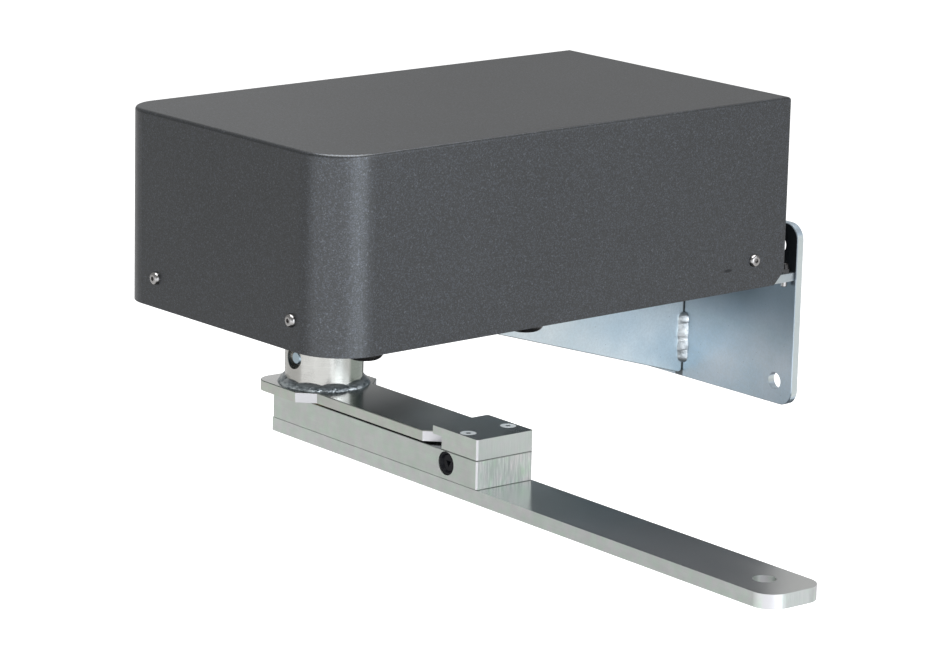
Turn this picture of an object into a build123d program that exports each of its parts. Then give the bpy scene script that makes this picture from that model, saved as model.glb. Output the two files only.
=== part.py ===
from build123d import *
from math import cos, pi, radians, sin, tan
import os

# Articulated arm gate operator: a wall bracket carries a gearmotor under a sheet cover,
# and the gearmotor's vertical shaft turns a welded lever that carries the arm.
# Row frame: Y = 0 is the back face of the wall plate, X = 0 its middle, Z = 0 its mid height.
# The nose of the cover points to -Y and the arm, at rest, to +X.

# Cover
cover_width = 200.0
cover_length = 350.0
cover_height = 115.0
cover_sheet = 1.5
cover_nose_radius = 30.0
cover_far_nose_radius = 22.0
cover_bend = 2.0
cover_wall_gap = 15.8
cover_shelf_clearance = 0.3
skirt_cut = 8.0
cover_screw_height = 17.6
cover_screw_corner_inset = 6.0
cover_screw_rear_inset = 25.7
cover_screw_thread = 4.0
cover_screw_head = 8.0
cover_screw_head_height = 2.4
cover_screw_length = 9.0
cover_screw_socket = 2.5
tab_width = 16.0
tab_height = 26.0
tab_foot = 16.0
tab_sheet = 2.5

# Wall bracket, as wide as the cover
wall_plate_width = cover_width
wall_plate_height = 114.0
wall_plate_corner = 10.0
bracket_thickness = 5.0
wall_hole_diameter = 10.5
wall_hole_side_inset = 15.0
wall_hole_end_inset = 14.0
shelf_underside = 22.5
gusset_length = 245.0
gusset_wall_depth = 77.5
gusset_nose_depth = 4.2
gusset_corner = 3.0
weld_leg = 6.0
weld_long = 30.0
weld_low_from_shelf = 69.2
shelf_weld_leg = 3.5
shelf_weld_from_wall = 35.0
shelf_weld_step = 70.0
edge_break = 0.4

# Output shaft line, about which the lever and the arm turn
hub_from_nose = 75.0
shaft_diameter = 30.0
shaft_top_diameter = 20.0
running_clearance = 0.05
axial_clearance = 0.2

# Hub and lever
hub_diameter = 46.0
hub_top_gap = 2.5
hub_weld_leg = 6.0
cross_pin_diameter = 8.0
cross_pin_length = 42.0
cross_pin_height = 16.8
cross_pin_recess_diameter = 12.6
cross_pin_recess = 4.0
lever_thickness = 6.1
lever_head_length = 41.0
lever_head_back = 29.0
lever_head_width = 59.0
lever_head_corner = 10.0
lever_head_chamfer = 9.0
lever_width = 41.0
lever_tip_land = 6.5
lever_tip_chamfer = 12.0

# Arm, measured along its own length from the output shaft line
arm_yaw = -1.73
arm_top_height = -26.3
lever_gap = 1.2
arm_width = 40.0
arm_back = 23.0
bar_thickness = 16.5
bar_reach = 168.4
flat_thickness = 8.0
flat_reach = 406.5
flat_tip_corner = 12.0
tip_hole_diameter = 12.6
tip_hole_reach = 381.0
end_corner_break = 0.9
seam_break = 0.3
block_thickness = 12.2
block_length = 40.5
lip_length = 9.0
lip_thickness = 4.8
block_screw_from_end = 15.3
block_screw_half_spacing = 14.2
block_screw_head = 9.0
block_screw_thread = 5.0
block_screw_grip = 5.0
block_screw_socket = 3.0
rear_screw_reach = 46.0
rear_screw_half_spacing = 12.0
rear_screw_depth = 20.0

# Arm pivot
pivot_shoulder = 14.0
pivot_head_diameter = 22.0
pivot_head_height = 4.6
pivot_thread = 10.0
pivot_thread_length = 13.0
pivot_socket = 8.0
pivot_socket_depth = 3.0
pivot_bush_wall = 2.0
washer_diameter = 36.0
washer_thickness = 0.9

# Release lock in the bar
barrel_diameter = 13.4
barrel_from_end = 27.2
barrel_depth = 7.1
barrel_recess = 0.6
barrel_dish_diameter = 11.0
barrel_dish_depth = 1.2
barrel_dish_slope = 40.0
barrel_far_journal = 6.0
barrel_clearance = 0.1
crank_radius = 3.6
crank_diameter = 4.6
key_socket = 5.0
key_socket_depth = 5.0
fork_length = 15.5
latch_diameter = 8.0
latch_clearance = 0.1
latch_hole_diameter = 8.6
latch_top_drop = 0.15
fork_height = 7.6
fork_width = 8.0
fork_slot = 5.0
pocket_clearance = 0.3
spring_wire = 0.6
spring_diameter = 4.6
spring_turns = 7
spring_bore_depth = 8.0
spring_bore_clearance = 0.3

# Gear case
case_width_left = 52.0
case_width_right = 80.0
case_half_length = 52.0
case_wall = 6.0
case_split_height = 76.5
case_flange_inset = 4.2
case_flange_thickness = 8.0
case_flange_corner = 12.0
boss_diameter = 66.0
boss_clearance = 1.0
foot_inset = 9.3
foot_front = 36.2
foot_rear = 155.4
foot_bolt_thread = 10.0
foot_bolt_head = 22.0
foot_bolt_head_height = 5.0
foot_bolt_socket = 6.0
lid_thickness = 6.0
lid_boss_diameter = 44.0
lid_boss_height = 6.0
lid_screw_thread = 5.0
lid_screw_head = 8.5
lid_screw_head_height = 5.0
lid_screw_inset = 5.0
lid_screw_grip = 10.0
lid_screw_socket = 4.0

# Output shaft bearings
lower_bush_diameter = 38.0
lower_bush_length = 30.0
bush_flange = 3.0
bush_flange_diameter = 48.0
seal_diameter = 47.0
seal_thickness = 7.0
upper_bush_diameter = 28.0
upper_flange_diameter = 34.0

# Worm drive
gear_module = 2.0
wheel_teeth = 40
worm_pitch_diameter = 24.0
worm_turns = 6
pressure_angle = 20.0
tooth_backlash = 0.35
wheel_face = 16.0
wheel_hub_diameter = 52.0
worm_axis_height = 57.5
key_width = 8.0
key_height = 7.0
key_depth = 4.0
circlip_width = 1.5
circlip_diameter = 36.0

# Worm shaft bearings, with balls between two grooved rings
bearing_bore = 15.0
bearing_outer = 35.0
bearing_width = 11.0
bearing_inner_rim = 21.0
bearing_outer_rim = 29.0
ball_diameter = 6.0
ball_count = 8
groove_clearance = 0.05
front_bearing_setback = 39.0
rear_bearing_setback = 41.0

# Motor
motor_diameter = 72.0
motor_wall = 6.0
motor_length = 104.0
motor_flange_thickness = 8.0
motor_flange_screw_thread = 4.0
motor_flange_screw_head = 7.0
motor_flange_screw_land = 2.5
motor_flange_screw_socket = 3.0
end_bell_thickness = 18.0
end_screw_inset = 3.5
end_screw_thread = 3.2
end_screw_head = 5.5
end_screw_head_height = 3.0
end_screw_grip = 12.0
end_screw_socket = 2.5
stator_depth = 13.0
stator_slot_width = 4.0
stator_slot_depth = 9.0
stator_length = 60.0
stator_slots = 12
air_gap = 0.5
winding_length = 14.0
winding_wall = 9.0
winding_gap = 1.0
rotor_shaft_diameter = 18.0

# Limit switches above the gear case
cam_diameter = 40.0
cam_thickness = 5.0
cam_lobe = 3.0
cam_gap = 0.6
switch_length = 28.0
switch_depth = 6.5
switch_plunger = 3.0
switch_plunger_reach = 1.0
switch_cam_gap = 0.5
switch_bracket_sheet = 2.0
switch_bracket_foot = 12.0

# Electrical equipment on the shelf
capacitor_diameter = 36.0
capacitor_height = 72.0
capacitor_edge_gap = 18.2
capacitor_wall_gap = 57.0
capacitor_stud = 8.0
board_width = 84.0
board_length = 96.0
board_thickness = 1.6
board_edge_gap = 6.2
board_motor_gap = 45.0
standoff_height = 12.0
standoff_diameter = 7.0
standoff_inset = 5.0
board_screw_thread = 3.0
board_screw_head = 5.5
board_screw_head_height = 2.4
board_screw_grip = 6.0
board_screw_socket = 2.5
transformer_width = 42.0
transformer_length = 36.0
transformer_height = 30.0
relay_width = 13.0
relay_length = 26.0
relay_height = 16.0
relay_step = 20.0
relay_count = 3
terminal_length = 60.0
terminal_width = 12.0
terminal_height = 14.0
terminal_count = 8
terminal_screw = 4.8
part_gap = 3.0
gland_thread = 20.0
gland_hex = 24.0
gland_edge_gap = 38.2
gland_wall_gap = 99.0
gland_bore = 10.0
gland_collar = 8.0
gland_cap = 10.0
gland_nut_height = 4.0

# Shelf corner studs beside the wall plate, with their cap nuts
corner_stud_inset = 4.2
corner_stud_from_wall = 9.3
corner_stud_thread = 4.0
corner_stud_below = 3.8
corner_stud_above = 4.5
corner_stud_tip = 0.5
corner_stud_socket = 2.0
corner_stud_socket_depth = 2.0
corner_nut_width = 6.6
corner_nut_height = 2.6
corner_cap_diameter = 6.2
corner_cap_height = 3.6
corner_cap_slope = 16.0
corner_cap_round = 1.6

thread_clearance = 0.25
screw_rim = 0.4
countersink_clearance = 0.15

# Places that follow from the sizes above
hub_y = -(cover_wall_gap + cover_length) + hub_from_nose
nose_y = -(cover_wall_gap + cover_length)
shelf_top = shelf_underside + bracket_thickness
weld_low = shelf_underside - weld_low_from_shelf
cover_bottom = shelf_underside
cover_inner_half = cover_width / 2 - cover_sheet
shelf_half = cover_inner_half - cover_shelf_clearance
cover_screw_nose_half_spacing = cover_width / 2 - cover_nose_radius - cover_screw_corner_inset
case_flange_width = 2 * (shelf_half - case_flange_inset)
foot_half_spacing = case_flange_width / 2 - foot_inset
corner_stud_x = shelf_half - corner_stud_inset
lever_underside = arm_top_height + lever_gap
lever_top = lever_underside + lever_thickness
bar_underside = arm_top_height - bar_thickness
flat_underside = bar_underside - flat_thickness
block_top = arm_top_height + block_thickness
hub_top = shelf_underside - hub_top_gap
pin_height = lever_top + cross_pin_height
case_floor = shelf_top
case_split = shelf_top + case_split_height
lid_top = case_split + lid_thickness
worm_z = shelf_underside + worm_axis_height
wheel_pitch_radius = gear_module * wheel_teeth / 2
worm_lead = gear_module * pi
worm_x = wheel_pitch_radius + worm_pitch_diameter / 2
worm_root_radius = worm_pitch_diameter / 2 - 1.25 * gear_module
wheel_tip_radius = wheel_pitch_radius + gear_module
wheel_root_radius = wheel_pitch_radius - 1.25 * gear_module
lead_angle = worm_lead / (pi * worm_pitch_diameter)
lower_bush_bottom = shelf_underside + seal_thickness + 1.0
lower_bush_top = lower_bush_bottom + lower_bush_length
wheel_hub_bottom = lower_bush_top + bush_flange + axial_clearance
wheel_hub_top = worm_z + wheel_face / 2 + 4.0
upper_flange_bottom = case_split - bush_flange
shaft_shoulder = upper_flange_bottom - axial_clearance
upper_bush_top = lid_top + lid_boss_height
cam_bottom = upper_bush_top + 1.0
shaft_top = cam_bottom + 2 * cam_thickness + 2 * cam_gap
shaft_end = lever_underside + 1.0
motor_bore = motor_diameter / 2 - motor_wall
stator_bore = 2 * (motor_bore - stator_depth)
end_screw_circle = motor_diameter - 2 * end_screw_inset
motor_flange_screw_circle = bearing_outer + motor_flange_screw_thread + 2 * motor_flange_screw_land
case_rear_y = hub_y + case_half_length
case_front_y = hub_y - case_half_length
motor_tube_y = case_rear_y + motor_flange_thickness
end_bell_y = motor_tube_y + motor_length
bearing_centres = [
    hub_y - front_bearing_setback - bearing_width / 2,
    hub_y + rear_bearing_setback + bearing_width / 2,
    end_bell_y + bearing_width / 2,
]
block_screw_reach = bar_reach - block_screw_from_end
barrel_reach = bar_reach - barrel_from_end
latch_reach = barrel_reach - fork_length
lever_reach = latch_reach + lever_tip_land
barrel_z = arm_top_height - barrel_depth
crank_drop = crank_radius * sin(radians(45))
fork_z = barrel_z - crank_drop
latch_travel = 2 * crank_drop
tab_screw_z = cover_bottom + cover_screw_height
capacitor_x = -shelf_half + capacitor_edge_gap + capacitor_diameter / 2
capacitor_y = -bracket_thickness - capacitor_wall_gap
board_x = -shelf_half + board_edge_gap + board_width / 2
board_y = hub_y + case_half_length + board_motor_gap + board_length / 2
gland_x = -shelf_half + gland_edge_gap
gland_y = -bracket_thickness - gland_wall_gap
cover_rear_y = -cover_wall_gap
side_screw_y = cover_rear_y - cover_screw_rear_inset
feet = [
    (side * foot_half_spacing, nose_y + from_nose)
    for side in (-1, 1)
    for from_nose in (foot_front, foot_rear)
]

hub_axis = Axis((0, hub_y, 0), (0, 0, 1))
worm_axis = Axis((worm_x, 0, worm_z), (0, 1, 0))
hub_profile = Plane(origin=(0, hub_y, 0), x_dir=(1, 0, 0), z_dir=(0, -1, 0))
worm_profile = Plane(origin=(worm_x, 0, worm_z), x_dir=(0, 1, 0), z_dir=(1, 0, 0))
arm_direction = Vector(cos(radians(arm_yaw)), sin(radians(arm_yaw)), 0)
arm_across = Vector(-sin(radians(arm_yaw)), cos(radians(arm_yaw)), 0)


def at_height(z):
    """Plane across the shaft line at a height, square to the wall."""
    return Plane(origin=(0, hub_y, z), x_dir=(1, 0, 0), z_dir=(0, 0, 1))


def arm_plane(z):
    """Plane of the arm at a height: local x runs along the arm, local y across it."""
    return Plane(origin=(0, hub_y, z), x_dir=arm_direction, z_dir=(0, 0, 1))


def arm_cross_plane(reach, across, z):
    """Plane whose normal runs across the arm, local x along it and local y downwards."""
    centre = Vector(0, hub_y, z) + arm_direction * reach + arm_across * across
    return Plane(origin=centre, x_dir=arm_direction, z_dir=arm_across)


def cap_screw(thread, head, head_height, length, socket):
    """Cap screw along Z: the head stands on Z = 0 and the shank goes down."""
    with BuildPart() as screw:
        with BuildSketch(Plane.XY):
            Circle(head / 2)
        extrude(amount=head_height)
        chamfer(screw.edges().group_by(Axis.Z)[-1], head * 0.06)
        with BuildSketch(Plane.XY):
            Circle(thread / 2)
        extrude(amount=-length)
        with BuildSketch(Plane.XY.offset(head_height)):
            RegularPolygon(socket / 2, 6, major_radius=False)
        extrude(amount=-head_height * 0.6, mode=Mode.SUBTRACT)
    return screw.part


def button_screw(thread, head, head_height, length, socket):
    """Round-headed screw along Z: the head stands on Z = 0 and the shank goes down."""
    top = head * 0.28
    with BuildPart() as screw:
        with BuildSketch(Plane.XZ):
            with BuildLine():
                Line((0, -length), (thread / 2, -length))
                Line((thread / 2, -length), (thread / 2, 0))
                Line((thread / 2, 0), (head / 2, 0))
                Line((head / 2, 0), (head / 2, head_height * 0.15))
                crown = TangentArc((head / 2, head_height * 0.15), (top, head_height), tangent=(0, 1))
                Line(crown @ 1, (0, head_height))
                Line((0, head_height), (0, -length))
            make_face()
        revolve(axis=Axis.Z)
        with BuildSketch(Plane.XY.offset(head_height)):
            RegularPolygon(socket / 2, 6, major_radius=False)
        extrude(amount=-head_height * 0.7, mode=Mode.SUBTRACT)
    return screw.part


def countersunk_screw(thread, head, length, socket):
    """Flat-headed screw along Z: the head's face is at Z = 0 and the shank goes down."""
    cone = (head - thread) / 2
    with BuildPart() as screw:
        with BuildSketch(Plane.XZ):
            with BuildLine():
                Polyline(
                    (0, 0), (head / 2, 0), (head / 2, -screw_rim), (thread / 2, -screw_rim - cone),
                    (thread / 2, -length), (0, -length), close=True,
                )
            make_face()
        revolve(axis=Axis.Z)
        with BuildSketch(Plane.XY):
            RegularPolygon(socket / 2, 6, major_radius=False)
        extrude(amount=-cone, mode=Mode.SUBTRACT)
    return screw.part


def countersink(thread, head):
    """Cutter for a countersunk screw along Z, open above Z = 0."""
    seat = countersink_clearance
    with BuildPart() as cutter:
        with BuildSketch(Plane.XZ):
            with BuildLine():
                Polyline(
                    (0, seat), (head / 2 + seat, seat), (head / 2 + seat, -screw_rim),
                    (thread / 2, -screw_rim - seat - (head - thread) / 2),
                    (0, -screw_rim - seat - (head - thread) / 2), close=True,
                )
            make_face()
        revolve(axis=Axis.Z)
    return cutter.part


# Wall plate
with BuildPart() as wall_plate:
    with BuildSketch(Plane.XZ):
        RectangleRounded(wall_plate_width, wall_plate_height, wall_plate_corner)
        with GridLocations(
            wall_plate_width - 2 * wall_hole_side_inset, wall_plate_height - 2 * wall_hole_end_inset, 2, 2
        ):
            Circle(wall_hole_diameter / 2, mode=Mode.SUBTRACT)
    extrude(amount=bracket_thickness)
    chamfer(wall_plate.faces().sort_by(Axis.Y)[0].outer_wire().edges(), edge_break)

# Shelf plate, which fills the open bottom of the cover
with BuildPart() as shelf_plate:
    shelf_front = nose_y + cover_sheet + cover_shelf_clearance
    shelf_length = -bracket_thickness - shelf_front
    with BuildSketch(Plane.XY.offset(shelf_underside)):
        with Locations((0, -bracket_thickness)):
            Rectangle(2 * shelf_half, shelf_length, align=(Align.CENTER, Align.MAX))
        nose_setback = cover_sheet + cover_shelf_clearance
        fillet(vertices().group_by(Axis.Y)[0].sort_by(Axis.X)[-1], cover_nose_radius - nose_setback)
        fillet(vertices().group_by(Axis.Y)[0].sort_by(Axis.X)[0], cover_far_nose_radius - nose_setback)
        with Locations((0, hub_y)):
            Circle(boss_diameter / 2 + boss_clearance, mode=Mode.SUBTRACT)
        with Locations(*feet):
            Circle(foot_bolt_thread / 2 + thread_clearance, mode=Mode.SUBTRACT)
        with Locations((gland_x, gland_y)):
            Circle(gland_thread / 2 + thread_clearance, mode=Mode.SUBTRACT)
        with Locations((capacitor_x, capacitor_y)):
            Circle(capacitor_stud / 2 + thread_clearance, mode=Mode.SUBTRACT)
        with Locations((0, -corner_stud_from_wall)), GridLocations(2 * corner_stud_x, 0, 2, 1):
            Circle(corner_stud_thread / 2, mode=Mode.SUBTRACT)
    extrude(amount=bracket_thickness)

# Gusset between shelf and wall plate
with BuildPart() as gusset_plate:
    with BuildSketch(Plane.YZ):
        with BuildLine():
            Polyline(
                (-bracket_thickness, shelf_underside),
                (-bracket_thickness, shelf_underside - gusset_wall_depth),
                (-bracket_thickness - gusset_length, shelf_underside - gusset_nose_depth),
                (-bracket_thickness - gusset_length, shelf_underside),
                close=True,
            )
        make_face()
        fillet(vertices().group_by(Axis.Y)[0], gusset_corner)
    extrude(amount=bracket_thickness / 2, both=True)
    gusset_sides = gusset_plate.faces().filter_by(Axis.X)
    lower_edges = gusset_sides.edges().filter_by(lambda e: e.center().Z < shelf_underside - 0.1)
    chamfer(lower_edges.filter_by(lambda e: e.center().Y < -bracket_thickness - 0.1), edge_break)

# Weld beads of the gusset: upright ones on the wall plate, short ones under the shelf
with BuildPart() as bracket_welds:
    for side in (-1, 1):
        gusset_face = side * bracket_thickness / 2
        with BuildSketch(Plane.XY.offset(weld_low)):
            with BuildLine():
                on_plate = (gusset_face + side * weld_leg, -bracket_thickness)
                on_gusset = (gusset_face, -bracket_thickness - weld_leg)
                Polyline(on_plate, (gusset_face, -bracket_thickness), on_gusset)
                RadiusArc(on_gusset, on_plate, side * 1.6 * weld_leg)
            make_face()
        extrude(amount=weld_long)
        for weld_y in (-shelf_weld_from_wall, -shelf_weld_from_wall - shelf_weld_step):
            with BuildSketch(Plane.XZ.offset(-weld_y)):
                with BuildLine():
                    on_shelf = (gusset_face + side * shelf_weld_leg, shelf_underside)
                    on_side = (gusset_face, shelf_underside - shelf_weld_leg)
                    Polyline(on_shelf, (gusset_face, shelf_underside), on_side)
                    RadiusArc(on_side, on_shelf, side * 1.6 * shelf_weld_leg)
                make_face()
            extrude(amount=weld_long)

# Cover: a folded sheet shell, open below
with BuildPart() as cover:
    with BuildSketch(Plane.XY.offset(cover_bottom)):
        with Locations((0, cover_rear_y)):
            Rectangle(cover_width, cover_length, align=(Align.CENTER, Align.MAX))
        fillet(vertices().group_by(Axis.Y)[0].sort_by(Axis.X)[-1], cover_nose_radius)
        fillet(vertices().group_by(Axis.Y)[0].sort_by(Axis.X)[0], cover_far_nose_radius)
    extrude(amount=cover_height)
    fillet(cover.edges().group_by(Axis.Z)[-1], cover_bend)
    with BuildSketch(Plane.XY.offset(cover_bottom)):
        with Locations((0, cover_rear_y - cover_sheet)):
            Rectangle(2 * cover_inner_half, cover_length - 2 * cover_sheet, align=(Align.CENTER, Align.MAX))
        fillet(vertices().group_by(Axis.Y)[0].sort_by(Axis.X)[-1], cover_nose_radius - cover_sheet)
        fillet(vertices().group_by(Axis.Y)[0].sort_by(Axis.X)[0], cover_far_nose_radius - cover_sheet)
    extrude(amount=cover_height - cover_sheet, mode=Mode.SUBTRACT)
    with BuildSketch(Plane.XZ.offset(-cover_rear_y + cover_sheet)):
        with Locations((0, cover_bottom)):
            Rectangle(2 * cover_inner_half, bracket_thickness + 2.0, align=(Align.CENTER, Align.MIN))
    extrude(amount=-2 * cover_sheet, mode=Mode.SUBTRACT)
    with BuildSketch(Plane.YZ.offset(-cover_width)):
        with BuildLine():
            Polyline(
                (cover_rear_y, cover_bottom),
                (cover_rear_y - skirt_cut, cover_bottom),
                (cover_rear_y, cover_bottom + skirt_cut),
                close=True,
            )
        make_face()
    extrude(amount=2 * cover_width, mode=Mode.SUBTRACT)
    screw_clearance = cover_screw_thread / 2 + thread_clearance
    with BuildSketch(Plane.XZ.offset(-nose_y)):
        with Locations((0, tab_screw_z)), GridLocations(2 * cover_screw_nose_half_spacing, 0, 2, 1):
            Circle(screw_clearance)
    extrude(amount=-2 * cover_sheet, mode=Mode.SUBTRACT)
    with BuildSketch(Plane.YZ):
        with Locations((side_screw_y, tab_screw_z)):
            Circle(screw_clearance)
    extrude(amount=cover_width, both=True, mode=Mode.SUBTRACT)


def tab(hole):
    """Angle tab: its upright leg stands behind X = 0 and its foot runs to +X on Z = 0."""
    with BuildPart() as angle:
        with BuildSketch(Plane.XZ):
            with BuildLine():
                Polyline(
                    (0, 0), (tab_foot, 0), (tab_foot, tab_sheet), (tab_sheet, tab_sheet),
                    (tab_sheet, tab_height), (0, tab_height), close=True,
                )
            make_face()
            fillet(vertices().sort_by(SortBy.DISTANCE)[0], tab_sheet * 0.8)
        extrude(amount=tab_width / 2, both=True)
        with BuildSketch(Plane.YZ):
            with Locations((0, tab_screw_z - shelf_top)):
                Circle(hole / 2)
        extrude(amount=2 * tab_sheet, mode=Mode.SUBTRACT)
    return angle.part


# Tabs that stand on the shelf inside the cover and take its screws
tab_setback = cover_sheet + cover_shelf_clearance
screw_places = [
    Location((-cover_screw_nose_half_spacing, nose_y, 0), (0, 0, 90)),
    Location((cover_screw_nose_half_spacing, nose_y, 0), (0, 0, 90)),
    Location((-cover_width / 2, side_screw_y, 0), (0, 0, 0)),
    Location((cover_width / 2, side_screw_y, 0), (0, 0, 180)),
]
with BuildPart() as cover_tabs:
    with Locations(*[place * Location((tab_setback, 0, shelf_top)) for place in screw_places]):
        add(tab(cover_screw_thread + 2 * running_clearance))

cover_screw = button_screw(
    cover_screw_thread, cover_screw_head, cover_screw_head_height, cover_screw_length, cover_screw_socket
)
with BuildPart() as cover_screws:
    with Locations(*[place * Location((0, 0, tab_screw_z), (0, -90, 0)) for place in screw_places]):
        add(cover_screw)

# Gear case with a wide foot flange and a boss that passes through the shelf
with BuildPart() as gear_case:
    with BuildSketch(Plane.XY.offset(case_floor)):
        flange_length = foot_rear - foot_front + 2 * case_flange_corner
        with Locations((0, nose_y + (foot_front + foot_rear) / 2)):
            RectangleRounded(case_flange_width, flange_length, case_flange_corner)
    extrude(amount=case_flange_thickness)
    with BuildSketch(Plane.XY.offset(case_floor)):
        with Locations(((case_width_right - case_width_left) / 2, hub_y)):
            RectangleRounded(case_width_left + case_width_right, 2 * case_half_length, case_wall)
    extrude(amount=case_split - case_floor)
    with BuildSketch(Plane.XY.offset(case_floor + case_flange_thickness)):
        with Locations(((case_width_right - case_width_left) / 2, hub_y)):
            Rectangle(
                case_width_left + case_width_right - 2 * case_wall, 2 * (case_half_length - case_wall)
            )
    extrude(amount=case_split - case_floor, mode=Mode.SUBTRACT)
    with BuildSketch(Plane.XY.offset(shelf_underside)):
        with Locations((0, hub_y)):
            Circle(boss_diameter / 2)
    extrude(amount=lower_bush_bottom - shelf_underside + case_wall)
    with BuildSketch(Plane.XY.offset(case_floor)):
        with Locations((0, hub_y)):
            Circle(bush_flange_diameter / 2 + case_wall / 2)
    extrude(amount=lower_bush_top - case_floor)
    for bearing_y, deep in ((bearing_centres[0], 1), (bearing_centres[1], -1)):
        inner_y = bearing_y + deep * bearing_width / 2
        wall_y = case_front_y + case_wall / 2 if deep > 0 else case_rear_y - case_wall / 2
        with BuildSketch(Plane(origin=(worm_x, wall_y, worm_z), x_dir=(1, 0, 0), z_dir=(0, deep, 0))):
            Circle(bearing_outer / 2 + case_wall / 2)
        extrude(amount=abs(inner_y - wall_y))
    with BuildSketch(at_height(shelf_underside)):
        Circle(seal_diameter / 2)
    extrude(amount=seal_thickness, mode=Mode.SUBTRACT)
    with BuildSketch(at_height(shelf_underside)):
        Circle(lower_bush_diameter / 2)
    extrude(amount=lower_bush_top - shelf_underside, mode=Mode.SUBTRACT)
    bearing_bores = (
        (bearing_centres[0] - bearing_width / 2, bearing_width + 1.0),
        (bearing_centres[1] - bearing_width / 2 - 1.0, 3 * bearing_width),
    )
    for start, depth in bearing_bores:
        with BuildSketch(Plane(origin=(worm_x, start, worm_z), x_dir=(1, 0, 0), z_dir=(0, 1, 0))):
            Circle(bearing_outer / 2)
        extrude(amount=depth, mode=Mode.SUBTRACT)
    with BuildSketch(Plane.XY.offset(case_floor)):
        with Locations(*feet):
            Circle(foot_bolt_thread / 2)
    extrude(amount=case_flange_thickness, mode=Mode.SUBTRACT)
    lid_screw_x = (
        -case_width_left + lid_screw_inset, case_width_right - lid_screw_inset,
    )
    lid_screw_y = (case_front_y + lid_screw_inset, case_rear_y - lid_screw_inset)
    lid_corners = [(x, y) for x in lid_screw_x for y in lid_screw_y]
    with BuildSketch(Plane.XY.offset(case_split)):
        with Locations(*lid_corners):
            Circle(lid_screw_inset)
    extrude(amount=-lid_screw_grip - case_wall)
    with BuildSketch(Plane.XY.offset(case_split)):
        with Locations(*lid_corners):
            Circle(lid_screw_thread / 2)
    extrude(amount=-lid_screw_grip - 2 * axial_clearance, mode=Mode.SUBTRACT)
    motor_screw_plane = Plane(origin=(worm_x, case_rear_y, worm_z), x_dir=(1, 0, 0), z_dir=(0, -1, 0))
    with BuildSketch(motor_screw_plane):
        with PolarLocations(motor_flange_screw_circle / 2, 4, start_angle=45):
            Circle(motor_flange_screw_thread / 2)
    extrude(amount=case_wall - 0.5, mode=Mode.SUBTRACT)

# Lid of the gear case with the upper bearing boss
with BuildPart() as gear_case_lid:
    with BuildSketch(Plane.XY.offset(case_split)):
        with Locations(((case_width_right - case_width_left) / 2, hub_y)):
            RectangleRounded(case_width_left + case_width_right, 2 * case_half_length, case_wall)
    extrude(amount=lid_thickness)
    with BuildSketch(at_height(lid_top)):
        Circle(lid_boss_diameter / 2)
    extrude(amount=lid_boss_height)
    with BuildSketch(at_height(case_split)):
        Circle(upper_bush_diameter / 2)
    extrude(amount=upper_bush_top - case_split, mode=Mode.SUBTRACT)
    with BuildSketch(Plane.XY.offset(case_split)):
        with Locations(*lid_corners):
            Circle(lid_screw_thread / 2 + thread_clearance)
    extrude(amount=lid_thickness, mode=Mode.SUBTRACT)

with BuildPart() as lid_screws:
    with Locations(*[(x, y, lid_top) for x, y in lid_corners]):
        add(
            cap_screw(
                lid_screw_thread, lid_screw_head, lid_screw_head_height,
                lid_thickness + lid_screw_grip, lid_screw_socket,
            )
        )

# Dome-headed bolts that hold the gear case from under the shelf
with BuildPart() as base_bolts:
    with Locations(*[Location((x, y, shelf_underside), (180, 0, 0)) for x, y in feet]):
        add(
            button_screw(
                foot_bolt_thread, foot_bolt_head, foot_bolt_head_height,
                bracket_thickness + case_flange_thickness, foot_bolt_socket,
            )
        )

# Bushes and seal of the output shaft
with BuildPart() as lower_bush:
    with BuildSketch(at_height(lower_bush_bottom)):
        Circle(lower_bush_diameter / 2)
    extrude(amount=lower_bush_length)
    with BuildSketch(at_height(lower_bush_top)):
        Circle(bush_flange_diameter / 2)
    extrude(amount=bush_flange)
    with BuildSketch(at_height(lower_bush_bottom)):
        Circle(shaft_diameter / 2 + running_clearance)
    extrude(amount=lower_bush_length + bush_flange, mode=Mode.SUBTRACT)

with BuildPart() as upper_bush:
    with BuildSketch(at_height(upper_flange_bottom)):
        Circle(upper_flange_diameter / 2)
    extrude(amount=bush_flange)
    with BuildSketch(at_height(case_split)):
        Circle(upper_bush_diameter / 2)
    extrude(amount=upper_bush_top - case_split)
    with BuildSketch(at_height(upper_flange_bottom)):
        Circle(shaft_top_diameter / 2 + running_clearance)
    extrude(amount=upper_bush_top - upper_flange_bottom, mode=Mode.SUBTRACT)

with BuildPart() as shaft_seal:
    with BuildSketch(hub_profile):
        inner = shaft_diameter / 2 + 2 * running_clearance
        with BuildLine():
            Polyline(
                (inner + 3.0, shelf_underside),
                (seal_diameter / 2, shelf_underside),
                (seal_diameter / 2, shelf_underside + seal_thickness),
                (inner + 3.0, shelf_underside + seal_thickness),
                (inner + 3.0, shelf_underside + seal_thickness - 1.5),
                (inner, shelf_underside + seal_thickness - 2.0),
                (inner, shelf_underside + seal_thickness - 3.0),
                (inner + 3.0, shelf_underside + 2.0),
                close=True,
            )
        make_face()
    revolve(axis=hub_axis)

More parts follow.
